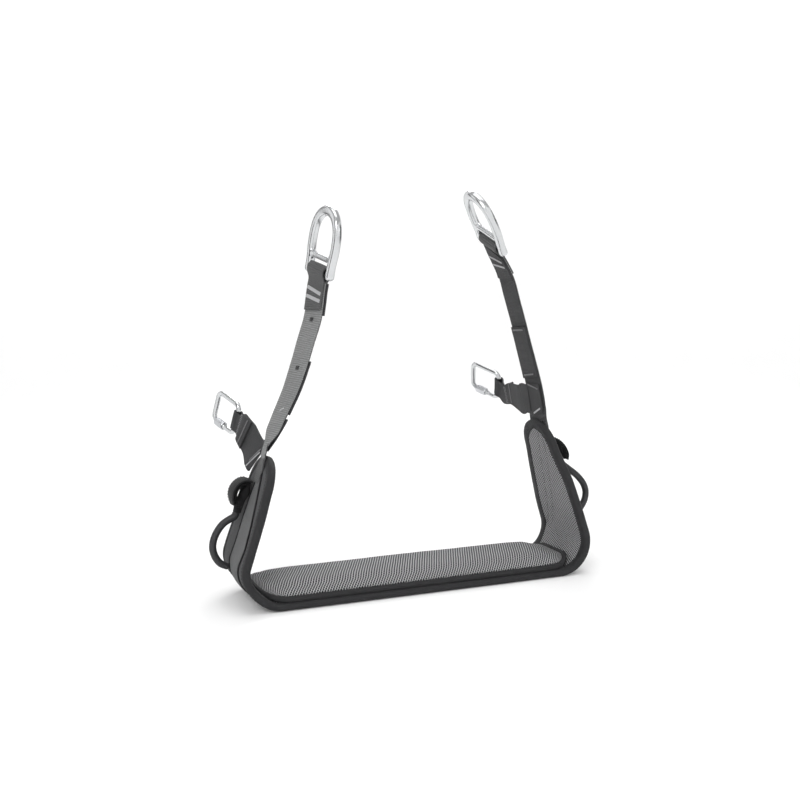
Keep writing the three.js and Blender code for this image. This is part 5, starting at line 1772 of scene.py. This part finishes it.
# ------------------------------------------------------------------ gear loop, sleeve and keeper
def build_loop(name):
    side, rt = SIDES[name], ROUTES[name]
    path = list(rt["loop"])
    if name == "right":
        path[-1] = [236.0, 57.8]  # carried on to the wing's face
    P, T, ln = catmull([(x, LOOP_Y, z) for x, z in path], 150)
    s = np.linspace(0, ln, len(P))
    r = LOOP_R * (1 - 0.10 * smooth((s - ln + 10) / 10)) + 0.05 * np.sin(s * 2.6)
    o = tube(f"loop_tube_{name}", P, r, "tube", 22, first=[0, 1, 0])
    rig.ride(o, f"gear_loop_{name}")
    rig.replaces(o, f"gear_loop_{name}")
    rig.slot(o, "tube")
    # tapered cloth sleeve over the loop's upper end, sewn to the wing
    above = {"left": (-207.6, 148.5), "right": (205.8, 153.0)}[name]
    P, T, ln = catmull([(x, LOOP_Y, z) for x, z in [above] + rt["sleeve"]], 46)
    rings = []
    for i, (p, t) in enumerate(zip(P, T)):
        k = i / 45
        b = np.array([0, 1.0, 0])
        n = unit(np.cross(t, b))
        rx = (10.4 + (5.4 - 10.4) * smooth((k - 0.1) / 0.75)) * (1 + 0.05 * math.sin(k * 21))
        rn = (2.6 + 3.0 * smooth(k / 0.35) - 0.4 * smooth((k - 0.6) / 0.4)) * (1 + 0.05 * math.sin(k * 17 + 1))
        ring = []
        for j in range(28):
            a = 2 * math.pi * j / 28
            e = 0.85
            ca, sa = math.cos(a), math.sin(a)
            ring.append(p + b * math.copysign(abs(ca) ** e, ca) * rx + n * math.copysign(abs(sa) ** e, sa) * rn)
        rings.append(ring)
    last = np.array(rings[-1])
    c = last.mean(0)
    for q, push in ((0.97, 0.35), (0.90, 0.7), (0.82, 0.8)):
        rings.append([c + (p - c) * q + T[-1] * push for p in last])
    sl = loft(f"loop_sleeve_{name}", rings, "sleeve", angle=60)
    ring_st = []
    for k in (0.80, 0.86):
        i = int(k * 45)
        R0 = np.array(rings[i])
        cc = R0.mean(0)
        for j in range(0, 28, 2):
            a, b = R0[j], R0[(j + 1) % 28]
            ring_st.append(np.array([a, cc + (a - cc) * 1.04, cc + (b - cc) * 1.04, b]))
    stt = stitches(f"sleeve_stitches_{name}", ring_st, 0.3, "black_thread")
    for q in (sl, stt):
        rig.ride(q, f"wing_{name}")
        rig.slot(q, "dark_webbing")
    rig.replaces(sl, f"gear_loop_sleeve_{name}")
    # keeper: a curled flap of webbing with pile on its inner face
    P, T, ln = catmull([(x, LOOP_Y, z) for x, z in rt["keeper"]], 70)
    W = np.tile(np.array([0, -1.0, 0]), (len(P), 1))
    Tn, W, N = frames(P, W, None)
    out = np.array([side["dir"], 0, 0.6])
    if N[10] @ out < 0:
        N = -N
    k = np.linspace(0, 1, len(P))
    H = 14.5 - 2.2 * smooth((k - 0.86) / 0.14)
    outer = strap(f"keeper_webbing_{name}", P + N * 0.25, W, N, H, 1.8, "keeper", cup=-1.2)
    pile = strap(f"keeper_pile_{name}", (P - N * 2.9)[5:-2], W[5:-2], N[5:-2], H[5:-2] - 1.0, 4.6, "pile", cup=-1.2)
    st = []
    for sg in (-1, 1):
        cum = np.concatenate([[0], np.cumsum(np.linalg.norm(np.diff(P, axis=0), axis=1))])
        for a in np.arange(5, cum[-1] - 4, 3.4):
            seg = []
            for e, upx in ((0, 0.9), (0.8, 1.25), (1.6, 1.25), (2.4, 0.9)):
                q = np.array([np.interp(a + e, cum, P[:, j]) for j in range(3)])
                i = int(np.clip(np.interp(a + e, cum, np.arange(len(P))), 0, len(P) - 1))
                seg.append(q + W[i] * sg * (H[i] - 2.4) + N[i] * (upx + 0.25 - 0.8 * (((H[i] - 2.4) / H[i]) ** 2 - 0.33)))
            st.append(np.array(seg))
    stt = stitches(f"keeper_stitches_{name}", st, 0.28, "black_thread")
    for q in (outer, pile, stt):
        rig.ride(q, f"wing_{name}")
        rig.slot(q, "dark_webbing")
    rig.replaces(outer, f"keeper_{name}")


for side_name in ("left", "right"):
    build_riser(side_name)
    build_link_strap(side_name)
    build_ring(side_name)
    build_link(side_name)
    build_loop(side_name)

# ------------------------------------------------------------------ pieces carried over inside the pad
plate = frame["nodes"]["seat_plate"]
plate.data.materials.clear()
plate.data.materials.append(M["plate"])


def build_seat_web():
    """The load webbing's run under the stiffening plate."""
    lo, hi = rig.box("seat_web")
    X = np.linspace(lo.x / MM, hi.x / MM, 60)
    P = np.array([(x, 0, (lo.z + hi.z) / 2 / MM) for x in X])
    W = np.tile(np.array([0, 1.0, 0]), (len(P), 1))
    N = np.tile(np.array([0, 0, 1.0]), (len(P), 1))
    o = strap("seat_webbing", P, W, N, hi.y / MM, (hi.z - lo.z) / MM, "strip")
    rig.ride(o, "seat")
    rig.replaces(o, "seat_web")
    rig.slot(o, "webbing")


build_seat_web()

# ------------------------------------------------------------------ floor
n = Nodes("studio_floor")
big = n.noise(n.obj(), 1.2, 2.0)
n.put(n.b.inputs["Base Color"], n.mix(big, (0.86, 0.86, 0.86), (0.89, 0.89, 0.89)))
n.put(n.b.inputs["Roughness"], 0.8)
n.put(n.b.inputs["Specular IOR Level"], 0.1)
# painted light: the bowl glows white, faintly at the floor and more strongly up its wall
n.put(n.b.inputs["Emission Color"], (1.0, 1.0, 1.0))
n.put(n.b.inputs["Emission Strength"], n.rng(n.sep(n.obj())[2], -0.05, 1.2, 0.02, 0.26, kind="LINEAR"))
prof = [(0.0, 0.0), (3.0, 0.0)] + [(3.0 + 1.2 * math.sin(a), 1.2 - 1.2 * math.cos(a)) for a in np.linspace(0.1, math.pi / 2, 12)] + [(4.2, 3.4)]
verts, faces = [(0, 0, -0.9)], []
k = 96
for r, z in prof[1:]:
    for j in range(k):
        verts.append((r * math.cos(2 * math.pi * j / k) / MM, r * math.sin(2 * math.pi * j / k) / MM, z / MM - 0.9))
for j in range(k):
    faces.append((0, 1 + j, 1 + (j + 1) % k))
for i in range(len(prof) - 2):
    for j in range(k):
        a, b = 1 + i * k + j, 1 + i * k + (j + 1) % k
        faces.append((a, a + k, b + k, b))
floor = make("studio_floor", verts, faces, n.mat, None, 60)
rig.stage(floor)

n = Nodes("studio_card")
n.put(n.b.inputs["Base Color"], (0.012, 0.012, 0.012))
n.put(n.b.inputs["Roughness"], 1.0)
n.put(n.b.inputs["Specular IOR Level"], 0.0)
for i, (az, half, lo, hi) in enumerate(((-32, 0.50, -0.05, 1.5), (176, 0.42, -0.05, 1.5), (70, 0.40, 0.0, 1.5), (122, 0.22, 0.0, 1.5), (-108, 0.12, 0.55, 1.6))):
    a = math.radians(az)
    c, t = np.array([math.cos(a), math.sin(a)]) * 1900, np.array([-math.sin(a), math.cos(a)]) * half * 1000
    card = make(f"studio_card_{i}", [(*(c - t), lo * 1000), (*(c + t), lo * 1000), (*(c + t), hi * 1000), (*(c - t), hi * 1000)], [(0, 1, 2, 3)], n.mat)
    card.visible_camera = card.visible_diffuse = card.visible_shadow = False
    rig.stage(card)

bpy.context.view_layer.update()
VIS_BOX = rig.bounds()
with open("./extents.json", "w") as fh:
    json.dump({"cad": [list(CAD_BOX[0]), list(CAD_BOX[1])], "visual": [list(VIS_BOX[0]), list(VIS_BOX[1])]}, fh)
